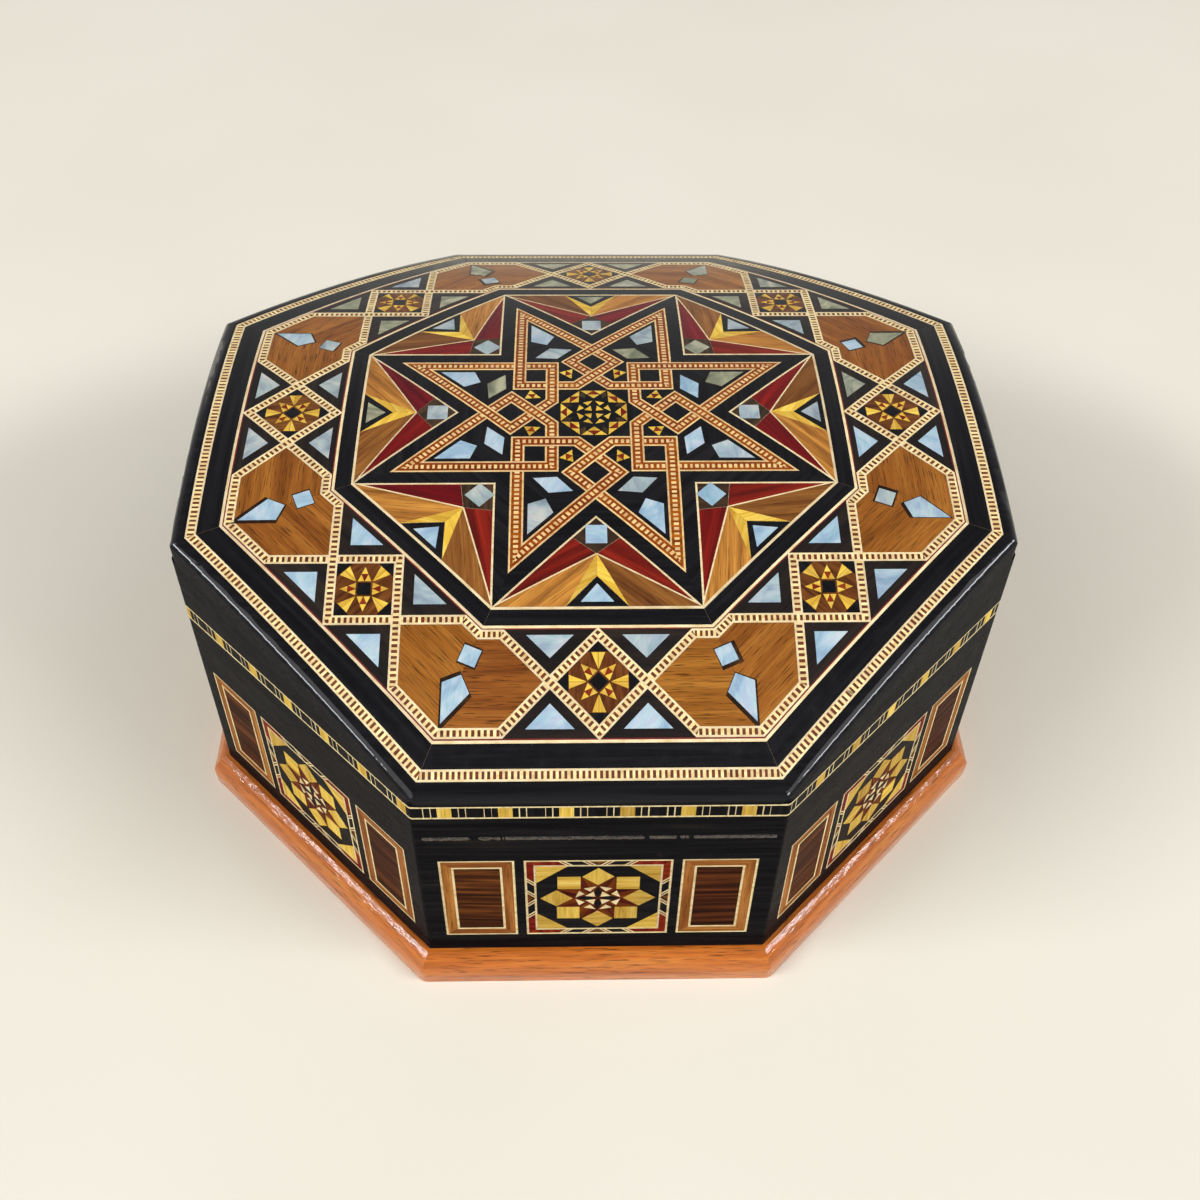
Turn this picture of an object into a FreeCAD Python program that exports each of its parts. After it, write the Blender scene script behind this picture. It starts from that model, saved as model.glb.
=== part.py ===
"""Octagonal mosaic box with a barrel-vaulted, hinged lid.

Millimetres, Z up, origin at the middle of the underside.  The front faces -Y,
the hinge runs along X at the back, and the vault's axis runs along X too.
"""
import os
from math import asin, cos, pi, radians, sin, sqrt, tan

import FreeCAD
import Part

os.makedirs("parts", exist_ok=True)
Vec = FreeCAD.Vector

# Driving dimensions
FOOT_FLATS = 195.0        # across the foot moulding
MOULDING_OUT = 4.5        # moulding beyond the box
HEIGHT = 90.0             # table to crown
VAULT_RISE = 21.5         # crown above the vault's front and back edges
SEAM_SHARE = 0.5967       # where lid and box part, as a share of the height
WALL_SIDE = 14.0          # walls left and right
WALL_FRONT = 16.5         # walls front and back
LINING_T = 1.5            # velvet on card
LINING_DROP = 1.0         # lining below the seam
CORNER_R = 1.2            # rounded upright corners
LID_CORNER_R = 5.0        # the lid panel's corners, rubbed rounder
MOULDING_H = 7.6          # foot moulding
MOULDING_TOE = 2.2        # straight part under its round
MOULDING_FLAT = 1.0       # ledge where it meets the box
MOULDING_CORNER_R = 3.0
FELT_T = 0.8
BOTTOM_T = 6.2
FLOOR_PAD_T = 1.0
LID_PANEL_T = 5.0
EDGE_ROUND = 2.5          # rounded edge of the lid panel
VENEER_T = 1.0            # marquetry on the lid
GLUE = 0.05               # glue line under veneer and inlay

# Side inlay
INLAY_T = 1.0
PANEL_FOOT = 6.2          # foot moulding to the side panels
PANEL_TOP = 8.0           # side panels to the seam
PANEL_END = 4.3           # side panels to the box's corner
PANEL_GAP = 2.0           # black strip between panels
MOSAIC_SHARE = 0.495      # the mosaic's share of what a side's three panels cover
FRAME_W = 3.2             # wood frame with its stringing
BORDER_W = 2.5            # border of the square mosaic
BAND_H = 4.4              # inlay band on the lid's side
BAND_DROP = 0.4           # band below the start of the edge rounding
BAND_T = 0.8

# Hinge and the bevel that stops the open lid
HINGE_INSET = 3.2         # axis in front of the back face
HINGE_X = 20.0            # hinge middle from the box middle
HINGE_LEN = 22.0
LEAF_W = 9.0
LEAF_T = 0.95
KNUCKLE_R = 1.5
KNUCKLE_CLEAR = 0.3
PIN_R = 0.75
PIN_FIT = 0.03
KNUCKLE_GAP = 0.2
STOP_DEG = 100.0          # the two bevels meet here

# Marquetry, from the lid's edge inwards
LID_DRAWN = 93.0          # the marquetry is drawn for this half width and fitted to the lid
SHEET_EDGE = 3.15         # lid edge to the veneer sheet
ROPE_EDGE = 0.45          # sheet edge to the outer rope
ROPE_W = 2.3
BLACK_OUT = 5.7           # black band outside the border ring
RING_W = 22.3
RING_ROPE_W = 2.1
RING_CROSS = 10.1         # middle of a side to where two of the ring's bands cross
BLACK_IN = 5.1            # black band inside the border ring
LINE_W = 0.6              # cream stringing line
LINE_STEP = 0.3           # line beside the border ring
STAR_DRAWN = 54.0         # the star is drawn in units, this many from middle to side

EIGHTH = pi / 4
T8 = tan(EIGHTH / 2)
SIDE_NAMES = ("right", "back_right", "back", "back_left", "left", "front_left", "front", "front_right")

foot = FOOT_FLATS / 2
body = foot - MOULDING_OUT
vault_r = (body ** 2 + VAULT_RISE ** 2) / (2 * VAULT_RISE)
vault_z = HEIGHT - vault_r                      # height of the vault's axis
high = 2 * HEIGHT                               # above everything
seam_z = SEAM_SHARE * HEIGHT
wall_in_x, wall_in_y = body - WALL_SIDE, body - WALL_FRONT
floor_z = FELT_T + BOTTOM_T
hinge_y = body - HINGE_INSET
leaf_y = hinge_y - LEAF_W
bevel = tan(radians(STOP_DEG / 2))
band_top = vault_z + sqrt((vault_r - EDGE_ROUND) ** 2 - (body - EDGE_ROUND) ** 2) - BAND_DROP

panel_z = MOULDING_H + PANEL_FOOT
panel_h = seam_z - PANEL_TOP - panel_z
panel_mid_z = panel_z + panel_h / 2
panels_w = 2 * (body * T8 - PANEL_GAP - PANEL_END)
mosaic_w = MOSAIC_SHARE * panels_w
wood_w = (panels_w - mosaic_w) / 2
wood_mid = mosaic_w / 2 + PANEL_GAP + wood_w / 2

fitted = body / LID_DRAWN
line_w, line_step, ring_rope_w = LINE_W * fitted, LINE_STEP * fitted, RING_ROPE_W * fitted
sheet = body - SHEET_EDGE * fitted
rope_out = sheet - ROPE_EDGE * fitted
rope_in = rope_out - ROPE_W * fitted
ring_out = rope_in - BLACK_OUT * fitted
ring_in = ring_out - RING_W * fitted
star = ring_in - BLACK_IN * fitted
unit = star / STAR_DRAWN


# Plan geometry
def turn(points, angle):
    """Rotate plan points about the middle."""
    c, s = cos(angle), sin(angle)
    return [(x * c - y * s, x * s + y * c) for x, y in points]


def mirror(points):
    return [(x, -y) for x, y in reversed(points)]


def both(points):
    return [points, mirror(points)]


def all_round(outlines, offset=0.0):
    """Repeat plan outlines on all eight sides, or on the corners with offset 0.5."""
    return [turn(p, (k + offset) * EIGHTH) for k in range(8) for p in outlines]


def octagon(half_x, half_y=None):
    """Corners of an octagon; corner k lies between side k and side k + 1."""
    half_y = half_x if half_y is None else half_y
    half = [half_x, (half_x + half_y) / 2, half_y, (half_x + half_y) / 2] * 2
    corners = []
    for k in range(8):
        a, b = k * EIGHTH, (k + 1) * EIGHTH
        d1, d2 = half[k], half[(k + 1) % 8]
        det = sin(b - a)
        corners.append(((d1 * sin(b) - d2 * sin(a)) / det, (d2 * cos(a) - d1 * cos(b)) / det))
    return corners


def rectangle(mid, half_w, half_h):
    return [(mid - half_w, -half_h), (mid + half_w, -half_h), (mid + half_w, half_h), (mid - half_w, half_h)]


def inset(points, gaps):
    """Move every edge of a convex, anticlockwise outline inwards, edge k by gaps[k]."""
    moved, count = [], len(points)
    for k in range(count):
        (x0, y0), (x1, y1), (x2, y2) = points[k - 1], points[k], points[(k + 1) % count]
        ax, ay, bx, by = x1 - x0, y1 - y0, x2 - x1, y2 - y1
        la, lb = sqrt(ax * ax + ay * ay), sqrt(bx * bx + by * by)
        d1 = (-ay * x1 + ax * y1) / la + gaps[k - 1]
        d2 = (-by * x1 + bx * y1) / lb + gaps[k]
        det = (-ay * bx + ax * by) / (la * lb)
        moved.append(((d1 * bx / lb - d2 * ax / la) / det, (d1 * by / lb - d2 * ay / la) / det))
    return moved


# Solids
def polygon(points):
    return Part.Face(Part.makePolygon(points + points[:1]))


def prism(points, z0, z1):
    return polygon([Vec(x, y, z0) for x, y in points]).extrude(Vec(0, 0, z1 - z0))


def ring(outer, inner, z0, z1):
    return prism(outer, z0, z1).cut(prism(inner, z0, z1))


def box(x0, x1, y0, y1, z0, z1):
    return Part.makeBox(x1 - x0, y1 - y0, z1 - z0, Vec(x0, y0, z0))


def along_x(radius, length, y, z, x0):
    return Part.makeCylinder(radius, length, Vec(x0, y, z), Vec(1, 0, 0))


def vault(radius):
    """Solid cylinder whose upper side is the vault."""
    return along_x(radius, 2 * foot, 0, vault_z, -foot)


def rounded(half, radius):
    """Octagonal column with rounded upright corners, to trim what stands at a corner."""
    column = prism(octagon(half), 0, high)
    upright = [e for e in column.Edges if abs(e.Vertexes[0].Z - e.Vertexes[1].Z) > HEIGHT]
    return column.makeFillet(radius, upright)


def group(shapes):
    solids = [s for shape in shapes for s in shape.Solids]
    return solids[0] if len(solids) == 1 else Part.makeCompound(solids)


def on_side(shape, k):
    """Turn a shape drawn on the right-hand side to side k."""
    return shape.copy().rotate(Vec(0, 0, 0), Vec(0, 0, 1), 45 * k)


# Box
def trim_back(shape):
    """Bevel the back edges so that the open lid comes to rest on the box."""
    reach = 2 * HINGE_INSET
    wedge = [Vec(-foot, hinge_y, seam_z), Vec(-foot, hinge_y + reach, seam_z + reach * bevel),
             Vec(-foot, hinge_y + reach, seam_z - reach * bevel)]
    return shape.cut(polygon(wedge).extrude(Vec(2 * foot, 0, 0)))


def wall(k, outer, inner, corners, hinge_cutter):
    """Mitred wall with shallow pockets for its three panels."""
    piece = prism([outer[k - 1], outer[k], inner[k], inner[k - 1]], FELT_T, seam_z).common(corners)
    for mid, width in ((0.0, mosaic_w), (wood_mid, wood_w), (-wood_mid, wood_w)):
        pocket = box(body - INLAY_T - GLUE, foot, mid - width / 2, mid + width / 2, panel_z, panel_z + panel_h)
        piece = piece.cut(on_side(pocket, k))
    if k in (1, 2, 3):
        piece = trim_back(piece)
    return piece.cut(hinge_cutter) if k == 2 else piece


def moulding(k, corners):
    """Foot moulding with a round that springs upright from its toe, mitred at both ends."""
    rise, run = MOULDING_H - MOULDING_TOE, MOULDING_OUT - MOULDING_FLAT
    bow = (rise ** 2 + run ** 2) / (2 * run)
    half = asin(rise / bow) / 2
    p0, p1, p2 = Vec(body, 0, 0), Vec(foot, 0, 0), Vec(foot, 0, MOULDING_TOE)
    p3 = Vec(foot - bow + bow * cos(half), 0, MOULDING_TOE + bow * sin(half))
    p4, p5 = Vec(body + MOULDING_FLAT, 0, MOULDING_H), Vec(body, 0, MOULDING_H)
    edges = [Part.makeLine(p0, p1), Part.makeLine(p1, p2), Part.Arc(p2, p3, p4).toShape(),
             Part.makeLine(p4, p5), Part.makeLine(p5, p0)]
    strip = Part.Face(Part.Wire(edges)).extrude(Vec(0, 2 * foot, 0))
    strip.translate(Vec(0, -foot, 0))
    return on_side(strip, k).common(side_sector(k)).common(corners)


def side_sector(k):
    """Everything between the two mitre planes of side k."""
    corner = 2 * foot
    return prism([(0, 0)] + turn([(corner, -corner * T8), (corner, corner * T8)], k * EIGHTH), 0, high)


# Hinges
def leaf(x_mid, knuckles, up):
    """One hinge leaf: plate in its mortise, rolled to the knuckles given as x spans."""
    z0, z1 = (seam_z + GLUE, seam_z + LEAF_T) if up else (seam_z - LEAF_T, seam_z - GLUE)
    clear = hinge_y - KNUCKLE_R - KNUCKLE_CLEAR
    plate = box(x_mid - HINGE_LEN / 2, x_mid + HINGE_LEN / 2, leaf_y, clear, z0, z1)
    for x0, x1 in knuckles:
        plate = plate.fuse(box(x_mid + x0, x_mid + x1, clear, hinge_y, z0, z1))
        plate = plate.fuse(along_x(KNUCKLE_R, x1 - x0, hinge_y, seam_z, x_mid + x0))
    return plate.cut(along_x(PIN_R + PIN_FIT, HINGE_LEN, hinge_y, seam_z, x_mid - HINGE_LEN / 2)).removeSplitter()


def hinge_mortise(up):
    """What the wood gives up for both hinges on one side of the seam."""
    z0, z1 = (seam_z, seam_z + LEAF_T) if up else (seam_z - LEAF_T, seam_z)
    cutters = []
    for x_mid in (-HINGE_X, HINGE_X):
        x0, x1 = x_mid - HINGE_LEN / 2, x_mid + HINGE_LEN / 2
        cutters.append(box(x0, x1, leaf_y, hinge_y, z0, z1))
        cutters.append(along_x(KNUCKLE_R + KNUCKLE_CLEAR, HINGE_LEN, hinge_y, seam_z, x0))
    return Part.makeCompound(cutters)


def hinges():
    knuckle = HINGE_LEN / 3
    ends = [(-HINGE_LEN / 2, -knuckle / 2 - KNUCKLE_GAP), (knuckle / 2 + KNUCKLE_GAP, HINGE_LEN / 2)]
    middle = [(-knuckle / 2, knuckle / 2)]
    places = (-HINGE_X, HINGE_X)
    return {
        "hinge_body_leaves": group([leaf(x, ends, False) for x in places]),
        "hinge_lid_leaves": group([leaf(x, middle, True) for x in places]),
        "hinge_pins": group([along_x(PIN_R, HINGE_LEN, hinge_y, seam_z, x - HINGE_LEN / 2) for x in places]),
    }


# Lid
def rim(k, outer, inner, corners, hinge_cutter, band_groove):
    """Lid rim piece; its top follows the underside of the bent panel."""
    piece = prism([outer[k - 1], outer[k], inner[k], inner[k - 1]], seam_z, high).common(corners)
    piece = piece.common(vault(vault_r - LID_PANEL_T)).cut(band_groove)
    if k in (1, 2, 3):
        piece = trim_back(piece)
    return piece.cut(hinge_cutter) if k == 2 else piece


def lid_panel(corners, band_groove):
    """Bent panel with rounded edge and a shallow recess for the marquetry."""
    blank = prism(octagon(body), seam_z, high)
    blank = blank.common(vault(vault_r).cut(vault(vault_r - LID_PANEL_T)))
    blank = blank.makeFillet(EDGE_ROUND, [e for e in blank.Edges if on_upper_rim(e)])
    recess = prism(octagon(sheet + GLUE), seam_z, high).cut(vault(vault_r - VENEER_T - GLUE))
    return blank.common(corners).cut(recess).cut(band_groove)


def on_upper_rim(edge):
    """True for the edges where the outside of the vault meets the sides."""
    for t in (0.25, 0.75):
        p = edge.valueAt(edge.FirstParameter + t * (edge.LastParameter - edge.FirstParameter))
        if abs(sqrt(p.y ** 2 + (p.z - vault_z) ** 2) - vault_r) > 1e-3:
            return False
    return True


def lid_band(outer, corners):
    """Inlay band let into the lid's side, mitred at the corners."""
    strip = ring(outer, octagon(body - BAND_T + GLUE), band_top - BAND_H, band_top).common(corners)
    return group([strip.common(side_sector(k)) for k in range(8)])


# Marquetry: bent veneers are cut from the vault's shell, pearl and mosaic slices stay flat
def stock(outlines):
    """Upright prisms through the whole lid."""
    return Part.makeCompound([prism(p, seam_z, high) for p in outlines])


def shell():
    return vault(vault_r).cut(vault(vault_r - VENEER_T))


def veneers(outlines):
    return group([shell().common(stock(outlines))])


def flat_tile(points):
    """Flat piece that touches the vault at its middle."""
    y_mid = sum(y for _, y in points) / len(points)
    rise = sqrt(vault_r ** 2 - y_mid ** 2)
    top = [Vec(x, y, vault_z + rise - (y - y_mid) * y_mid / rise) for x, y in points]
    return polygon(top).extrude(Vec(0, 0, -VENEER_T))


def flat_tiles(outlines):
    return group([flat_tile(p) for p in outlines])


def shell_ring(outer_half, inner_half):
    return shell().common(ring(octagon(outer_half), octagon(inner_half), seam_z, high))


# Star outlines, drawn with x outwards from the lid's middle
def star_units(*points):
    return [(x * unit, y * unit) for x, y in points]


strap_out, strap_in, strap_w = 17.6 * unit, 9.8 * unit, 3.1 * unit    # middle lines and width of the straps
notch = star / cos(EIGHTH / 2) * cos(1.5 * EIGHTH) * sqrt(2)          # inner corners of the star
tip = (star, star * T8)
apex = notch + 9.8 * unit                                            # where wedges and chevron meet
shoulder = (notch + 5.5 * unit, 5.5 * unit)
chevron_foot = (star, 6.7 * unit)
red_wedge = [(apex, 0), tip, shoulder]
brown_wedge = [(apex, 0), chevron_foot, tip]
chevron = [(apex, 0), (apex + 5.5 * unit, 0), chevron_foot]
notch_square = star_units((34.1, -2.4), (38.9, -2.4), (38.9, 2.4), (34.1, 2.4))
gap_triangle = star_units((48.6, 0), (53.0, -3.65), (53.0, 3.65))
star_kite = star_units((29.1, 0), (32.0, -3.1), (39.6, 0), (32.0, 3.1))
star_rhomb = star_units((22.4, 0), (24.8, -4.9), (27.4, 0), (24.8, 4.9))
small_triangle = star_units((13.4, 0), (16.95, -1.75), (16.95, 1.75))


def kite(out_d, in_d):
    """Kite of one star point between its two long and its two short lines."""
    out_n, in_n = turn([(out_d, 0)], 1.5 * EIGHTH)[0], turn([(in_d, 0)], -0.5 * EIGHTH)[0]
    wing = (out_n[0] + in_n[0], out_n[1] + in_n[1])
    return [(in_d / cos(EIGHTH / 2), 0), (wing[0], -wing[1]), (out_d / cos(1.5 * EIGHTH), 0), wing]


def strapwork():
    """Eight interlaced kites, joined where they cross."""
    half = strap_w / 2
    outer, inner = kite(strap_out + half, strap_in - half), kite(strap_out - half, strap_in + half)
    loops = [ring(turn(outer, (k + 0.5) * EIGHTH), turn(inner, (k + 0.5) * EIGHTH), seam_z, high) for k in range(8)]
    return group([loops[0].multiFuse(loops[1:]).removeSplitter().common(shell())])


# Ring outlines, drawn the same way
ring_mid = (ring_in + ring_out) / 2
cell_in, cell_out = ring_in + ring_rope_w, ring_out - ring_rope_w    # between the ring's two ropes
cross, reach = RING_CROSS * fitted, (ring_out - ring_in - ring_rope_w) / 2   # where two bands cross, along and across
slant = cross / reach                                                # along the side per step across
half_along = ring_rope_w / 2 * sqrt(1 + slant ** 2)                  # half a band, measured along the side
half_across = half_along / slant
band_end = cross + half_along + (ring_mid - cell_in) * slant
dark_half = (ring_mid - half_across - ring_in) * slant
diamond = [(ring_mid - reach + half_across, 0), (ring_mid, half_along - cross),
           (ring_mid + reach - half_across, 0), (ring_mid, cross - half_along)]
inner_dark = [(ring_in, cross - dark_half), (ring_mid - half_across, cross), (ring_in, cross + dark_half)]
outer_dark = [(ring_out, cross + dark_half), (ring_mid + half_across, cross), (ring_out, cross - dark_half)]
inner_triangle = inset(inner_dark, [gap * fitted for gap in (2.4, 2.4, 1.2)])
outer_triangle = inset(outer_dark, [gap * fitted for gap in (2.0, 2.0, 1.7)])
corner_field = [(ring_mid, cross + half_along), (cell_out, band_end), (cell_out, cell_out * T8),
                (cell_in, cell_in * T8), (cell_in, band_end)]
corner_near, corner_far = cell_in / cos(EIGHTH / 2), cell_out / cos(EIGHTH / 2)


def corner_shares(*points):
    """Points on a corner's axis, in shares of the depth of the corner field."""
    depth = corner_far - corner_near
    return [(corner_near + x * depth, y * depth) for x, y in points]


corner_square = corner_shares((0.095, -0.1), (0.295, -0.1), (0.295, 0.1), (0.095, 0.1))
corner_kite = corner_shares((0.41, 0), (0.56, -0.16), (0.96, 0), (0.56, 0.16))


def marquetry():
    """All veneers of the lid by node name; the ground fills what they leave."""
    outlines = {
        "lid_red_wedges": all_round(both(red_wedge)),
        "lid_brown_wedges": all_round(both(brown_wedge)),
        "lid_yellow_chevrons": all_round(both(chevron)),
        "lid_rosette": [octagon(strap_in - strap_w / 2 - line_step)],
    }
    flat_outlines = {
        "lid_pearl_gaps": all_round([notch_square, gap_triangle]),
        "lid_pearl_star": all_round([star_kite, star_rhomb], 0.5),
        "lid_pearl_ring": all_round(both(inner_triangle) + both(outer_triangle)),
        "lid_pearl_corners": all_round([corner_square, corner_kite], 0.5),
        "lid_diamonds": all_round([diamond]),
        "lid_small_triangles": all_round([small_triangle], 0.5),
    }
    nodes = {name: veneers(shapes) for name, shapes in outlines.items()}
    nodes.update({name: flat_tiles(shapes) for name, shapes in flat_outlines.items()})
    fields, corners = all_round(both(corner_field)), flat_outlines["lid_pearl_corners"]
    nodes["lid_corner_fields"] = group([veneers(fields).cut(stock(corners))])
    nodes["lid_outer_rope"] = shell_ring(rope_out, rope_in)
    nodes["lid_strapwork"] = strapwork()
    cells = fields + all_round(both(inner_dark) + both(outer_dark) + [diamond])
    nodes["lid_ring_rope"] = shell_ring(ring_out, ring_in).cut(stock(cells))
    lines = [(star + line_w, star), (ring_in - line_step, ring_in - line_step - line_w),
             (ring_out + line_step + line_w, ring_out + line_step)]
    nodes["lid_cream_lines"] = group([shell_ring(a, b) for a, b in lines])
    cut_by = [p for shapes in list(outlines.values()) + list(flat_outlines.values()) for p in shapes]
    ropes = [nodes[n] for n in ("lid_outer_rope", "lid_strapwork", "lid_ring_rope", "lid_cream_lines")]
    ground = veneers([octagon(sheet)]).cut(stock(cut_by + fields)).cut(ropes)
    nodes["lid_ground"] = group([ground])
    return nodes


# Side inlays, drawn round the panel's middle: along the side, then up
def side_tiles(points):
    """One tile outline on all eight sides."""
    loop = [Vec(body - INLAY_T, t, panel_mid_z + z) for t, z in points]
    tile = polygon(loop).extrude(Vec(INLAY_T, 0, 0))
    return [on_side(tile, k) for k in range(8)]


def side_mosaics():
    """Square mosaics: border, eight-point star, yellow tiles and the black field they leave."""
    field_w, field_h = mosaic_w / 2 - BORDER_W, panel_h / 2 - BORDER_W

    def tiles(shares):
        return side_tiles([(t * field_w, z * field_h) for t, z in shares])

    square = [(0.29, 0.275), (0.675, 0.275), (0.675, 0.66), (0.29, 0.66)]
    diamond_tile = [(0.685, -0.255), (0.94, 0), (0.685, 0.255), (0.43, 0)]
    corner_tile = [(1, 0.48), (1, 1), (0.48, 1)]
    star_points = []
    for k in range(8):
        star_points += turn([(0.425, 0)], k * EIGHTH) + turn([(0.66, 0)], (k + 0.5) * EIGHTH)
    stars = tiles(star_points)
    yellow = []
    for quarter in range(4):
        for shares in (square, diamond_tile, corner_tile):
            yellow += [tile.cut(star) for tile, star in zip(tiles(turn(shares, quarter * pi / 2)), stars)]
    fields = side_tiles(rectangle(0, field_w, field_h))
    frames = side_tiles(rectangle(0, mosaic_w / 2, panel_h / 2))
    return {
        "mosaic_stars": group(stars),
        "mosaic_yellow": group(yellow),
        "mosaic_borders": group([frame.cut(inner) for frame, inner in zip(frames, fields)]),
        "mosaic_fields": group([Part.makeCompound(fields).cut(stars + yellow)]),
    }


def wood_inlays():
    """Framed wood panels, two on every side."""
    frames, panels = [], []
    for mid in (-wood_mid, wood_mid):
        centres = side_tiles(rectangle(mid, wood_w / 2 - FRAME_W, panel_h / 2 - FRAME_W))
        outers = side_tiles(rectangle(mid, wood_w / 2, panel_h / 2))
        panels += centres
        frames += [outer.cut(centre) for outer, centre in zip(outers, centres)]
    return {"wood_frames": group(frames), "wood_panels": group(panels)}


def build():
    outer, wall_in = octagon(body), octagon(wall_in_x, wall_in_y)
    clear = octagon(wall_in_x - LINING_T, wall_in_y - LINING_T)
    body_corners, foot_corners = rounded(body, CORNER_R), rounded(foot, MOULDING_CORNER_R)
    groove = ring(octagon(foot), octagon(body - BAND_T), band_top - BAND_H, band_top)
    body_mortise, lid_mortise = hinge_mortise(False), hinge_mortise(True)
    nodes = {}
    for k, name in enumerate(SIDE_NAMES):
        nodes["wall_" + name] = wall(k, outer, wall_in, body_corners, body_mortise)
        nodes["moulding_" + name] = moulding(k, foot_corners)
        nodes["rim_" + name] = rim(k, outer, wall_in, body_corners, lid_mortise, groove)

    pad_z = floor_z + FLOOR_PAD_T
    linings = [prism([wall_in[k - 1], wall_in[k], clear[k], clear[k - 1]], pad_z, seam_z - LINING_DROP) for k in range(8)]
    nodes["base_felt"] = prism(outer, 0, FELT_T).common(body_corners)
    nodes["bottom_board"] = prism(wall_in, FELT_T, floor_z)
    nodes["floor_pad"] = prism(wall_in, floor_z, pad_z)
    nodes["wall_lining"] = group(linings)
    nodes.update(wood_inlays())
    nodes.update(side_mosaics())
    nodes.update(hinges())

    under = vault_r - LID_PANEL_T - 2 * GLUE
    lining = vault(under).cut(vault(under - LINING_T))
    nodes["lid_panel"] = lid_panel(rounded(body, LID_CORNER_R), groove)
    nodes["lid_lining"] = group([lining.common(prism(wall_in, seam_z, high))])
    nodes["lid_band"] = lid_band(outer, body_corners)
    nodes.update(marquetry())
    return nodes


for node_name, shape in build().items():
    shape.exportStep("parts/%s.step" % node_name)
    bounds = shape.BoundBox
    print("%-22s solids %3d valid %s volume %9.1f z %6.2f..%6.2f" % (
        node_name, len(shape.Solids), shape.isValid(), shape.Volume, bounds.ZMin, bounds.ZMax))
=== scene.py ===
"""Looks of the octagonal mosaic box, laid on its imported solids.

Outlines are in millimetres: the lid's are drawn in plan and laid on the vault,
the sides' are drawn along the side and up. Blender works in metres.
"""
import random
from math import ceil, cos, floor, hypot, pi, radians, sin, sqrt, tan

import bpy
from mathutils import Matrix, Vector


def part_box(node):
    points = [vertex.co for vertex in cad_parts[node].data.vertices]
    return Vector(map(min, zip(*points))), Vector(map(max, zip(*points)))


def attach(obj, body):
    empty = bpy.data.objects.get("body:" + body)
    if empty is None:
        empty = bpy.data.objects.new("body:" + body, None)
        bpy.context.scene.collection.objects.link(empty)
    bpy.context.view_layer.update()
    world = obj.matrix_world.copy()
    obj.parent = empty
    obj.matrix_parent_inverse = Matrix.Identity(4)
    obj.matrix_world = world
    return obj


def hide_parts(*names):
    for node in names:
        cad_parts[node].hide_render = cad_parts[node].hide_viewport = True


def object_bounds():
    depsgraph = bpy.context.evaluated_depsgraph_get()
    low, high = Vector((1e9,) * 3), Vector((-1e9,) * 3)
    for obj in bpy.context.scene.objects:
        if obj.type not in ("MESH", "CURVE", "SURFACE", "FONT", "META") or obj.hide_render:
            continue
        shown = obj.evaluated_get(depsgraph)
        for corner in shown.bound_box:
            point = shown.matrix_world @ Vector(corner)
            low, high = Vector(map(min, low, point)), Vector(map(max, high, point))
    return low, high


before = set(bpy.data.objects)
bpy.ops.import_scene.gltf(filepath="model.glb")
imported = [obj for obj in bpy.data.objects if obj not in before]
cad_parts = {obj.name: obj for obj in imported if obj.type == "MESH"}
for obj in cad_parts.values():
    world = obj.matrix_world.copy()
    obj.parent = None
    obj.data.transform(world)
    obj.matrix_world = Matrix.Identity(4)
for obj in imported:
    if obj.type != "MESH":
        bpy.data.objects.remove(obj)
cad_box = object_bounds()
rng = random.Random(11)

MM = 0.001
EIGHTH = pi / 4
T8 = tan(EIGHTH / 2)
SIDE_NAMES = ("right", "back_right", "back", "back_left", "left", "front_left", "front", "front_right")

# Sizes of the part, in mm
VAULT_RISE = 21.5
ROPE_W = 2.3
RING_W = 22.3
RING_ROPE_W = 2.1
BLACK_IN = 5.1
LINE_W = 0.6
LINE_STEP = 0.3
STAR_DRAWN = 54.0
FRAME_W = 3.2
BORDER_W = 2.5
PANEL_GAP = 2.0
PANEL_END = 4.3
CORNER_R = 1.2
HINGE_LEN = 22.0

# How the inlay is laid, in mm
SLICE = 3.0  # steps in which flat outlines follow the vault
LAYER = 0.03  # one sheet of inlay above the next
LAYERS = 4
INLAY_T = 0.6  # veneer that stands for a solid
TILE_T = 0.12  # tile on that veneer
TILE_LEAN = 0.008  # unevenness of the tiles' faces
DRIFT = 300  # random shift of the figure
JOINT = 0.03  # glue line round a piece of veneer
TILE_JOINT = 0.04  # glue line round a tile
WIDE_JOINT = 0.05  # glue line at mitres and round the smallest tiles
TINY = 1e-4
SAME_SPOT = 2e-5


def low(node):
    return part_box(node)[0] / MM


def high(node):
    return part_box(node)[1] / MM


body = high("rim_right").x
height = cad_box[1][2] / MM
seam_z = high("wall_right").z
vault_r = (body ** 2 + VAULT_RISE ** 2) / (2 * VAULT_RISE)
vault_z = height - vault_r
sheet = high("lid_ground").x
rope_out = high("lid_outer_rope").x
rope_in = rope_out - ROPE_W
ring_out = high("lid_ring_rope").x
ring_in = ring_out - RING_W
star = ring_in - BLACK_IN
unit = star / STAR_DRAWN
panel_z, panel_h = low("mosaic_borders").z, high("mosaic_borders").z - low("mosaic_borders").z
panel_mid_z = panel_z + panel_h / 2
side_flat = (body - CORNER_R) * T8
wood_w = body * T8 - panel_h / 2 - PANEL_GAP - PANEL_END
wood_mid = panel_h / 2 + PANEL_GAP + wood_w / 2


# Plan geometry
def pairs(points):
    """Each point with the next one, round the outline."""
    return zip(points, points[1:] + points[:1])


def apart(p, q):
    return hypot(q[0] - p[0], q[1] - p[1])


def dot(p, q):
    return p[0] * q[0] + p[1] * q[1]


def middle(p, q):
    return ((p[0] + q[0]) / 2, (p[1] + q[1]) / 2)


def turn(points, angle):
    c, s = cos(angle), sin(angle)
    return [(x * c - y * s, x * s + y * c) for x, y in points]


def shift(points, dx, dy=0.0):
    return [(x + dx, y + dy) for x, y in points]


def scaled(points, size):
    return [(x * size, y * size) for x, y in points]


def flipped(points):
    return [(x, -y) for x, y in points]


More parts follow.
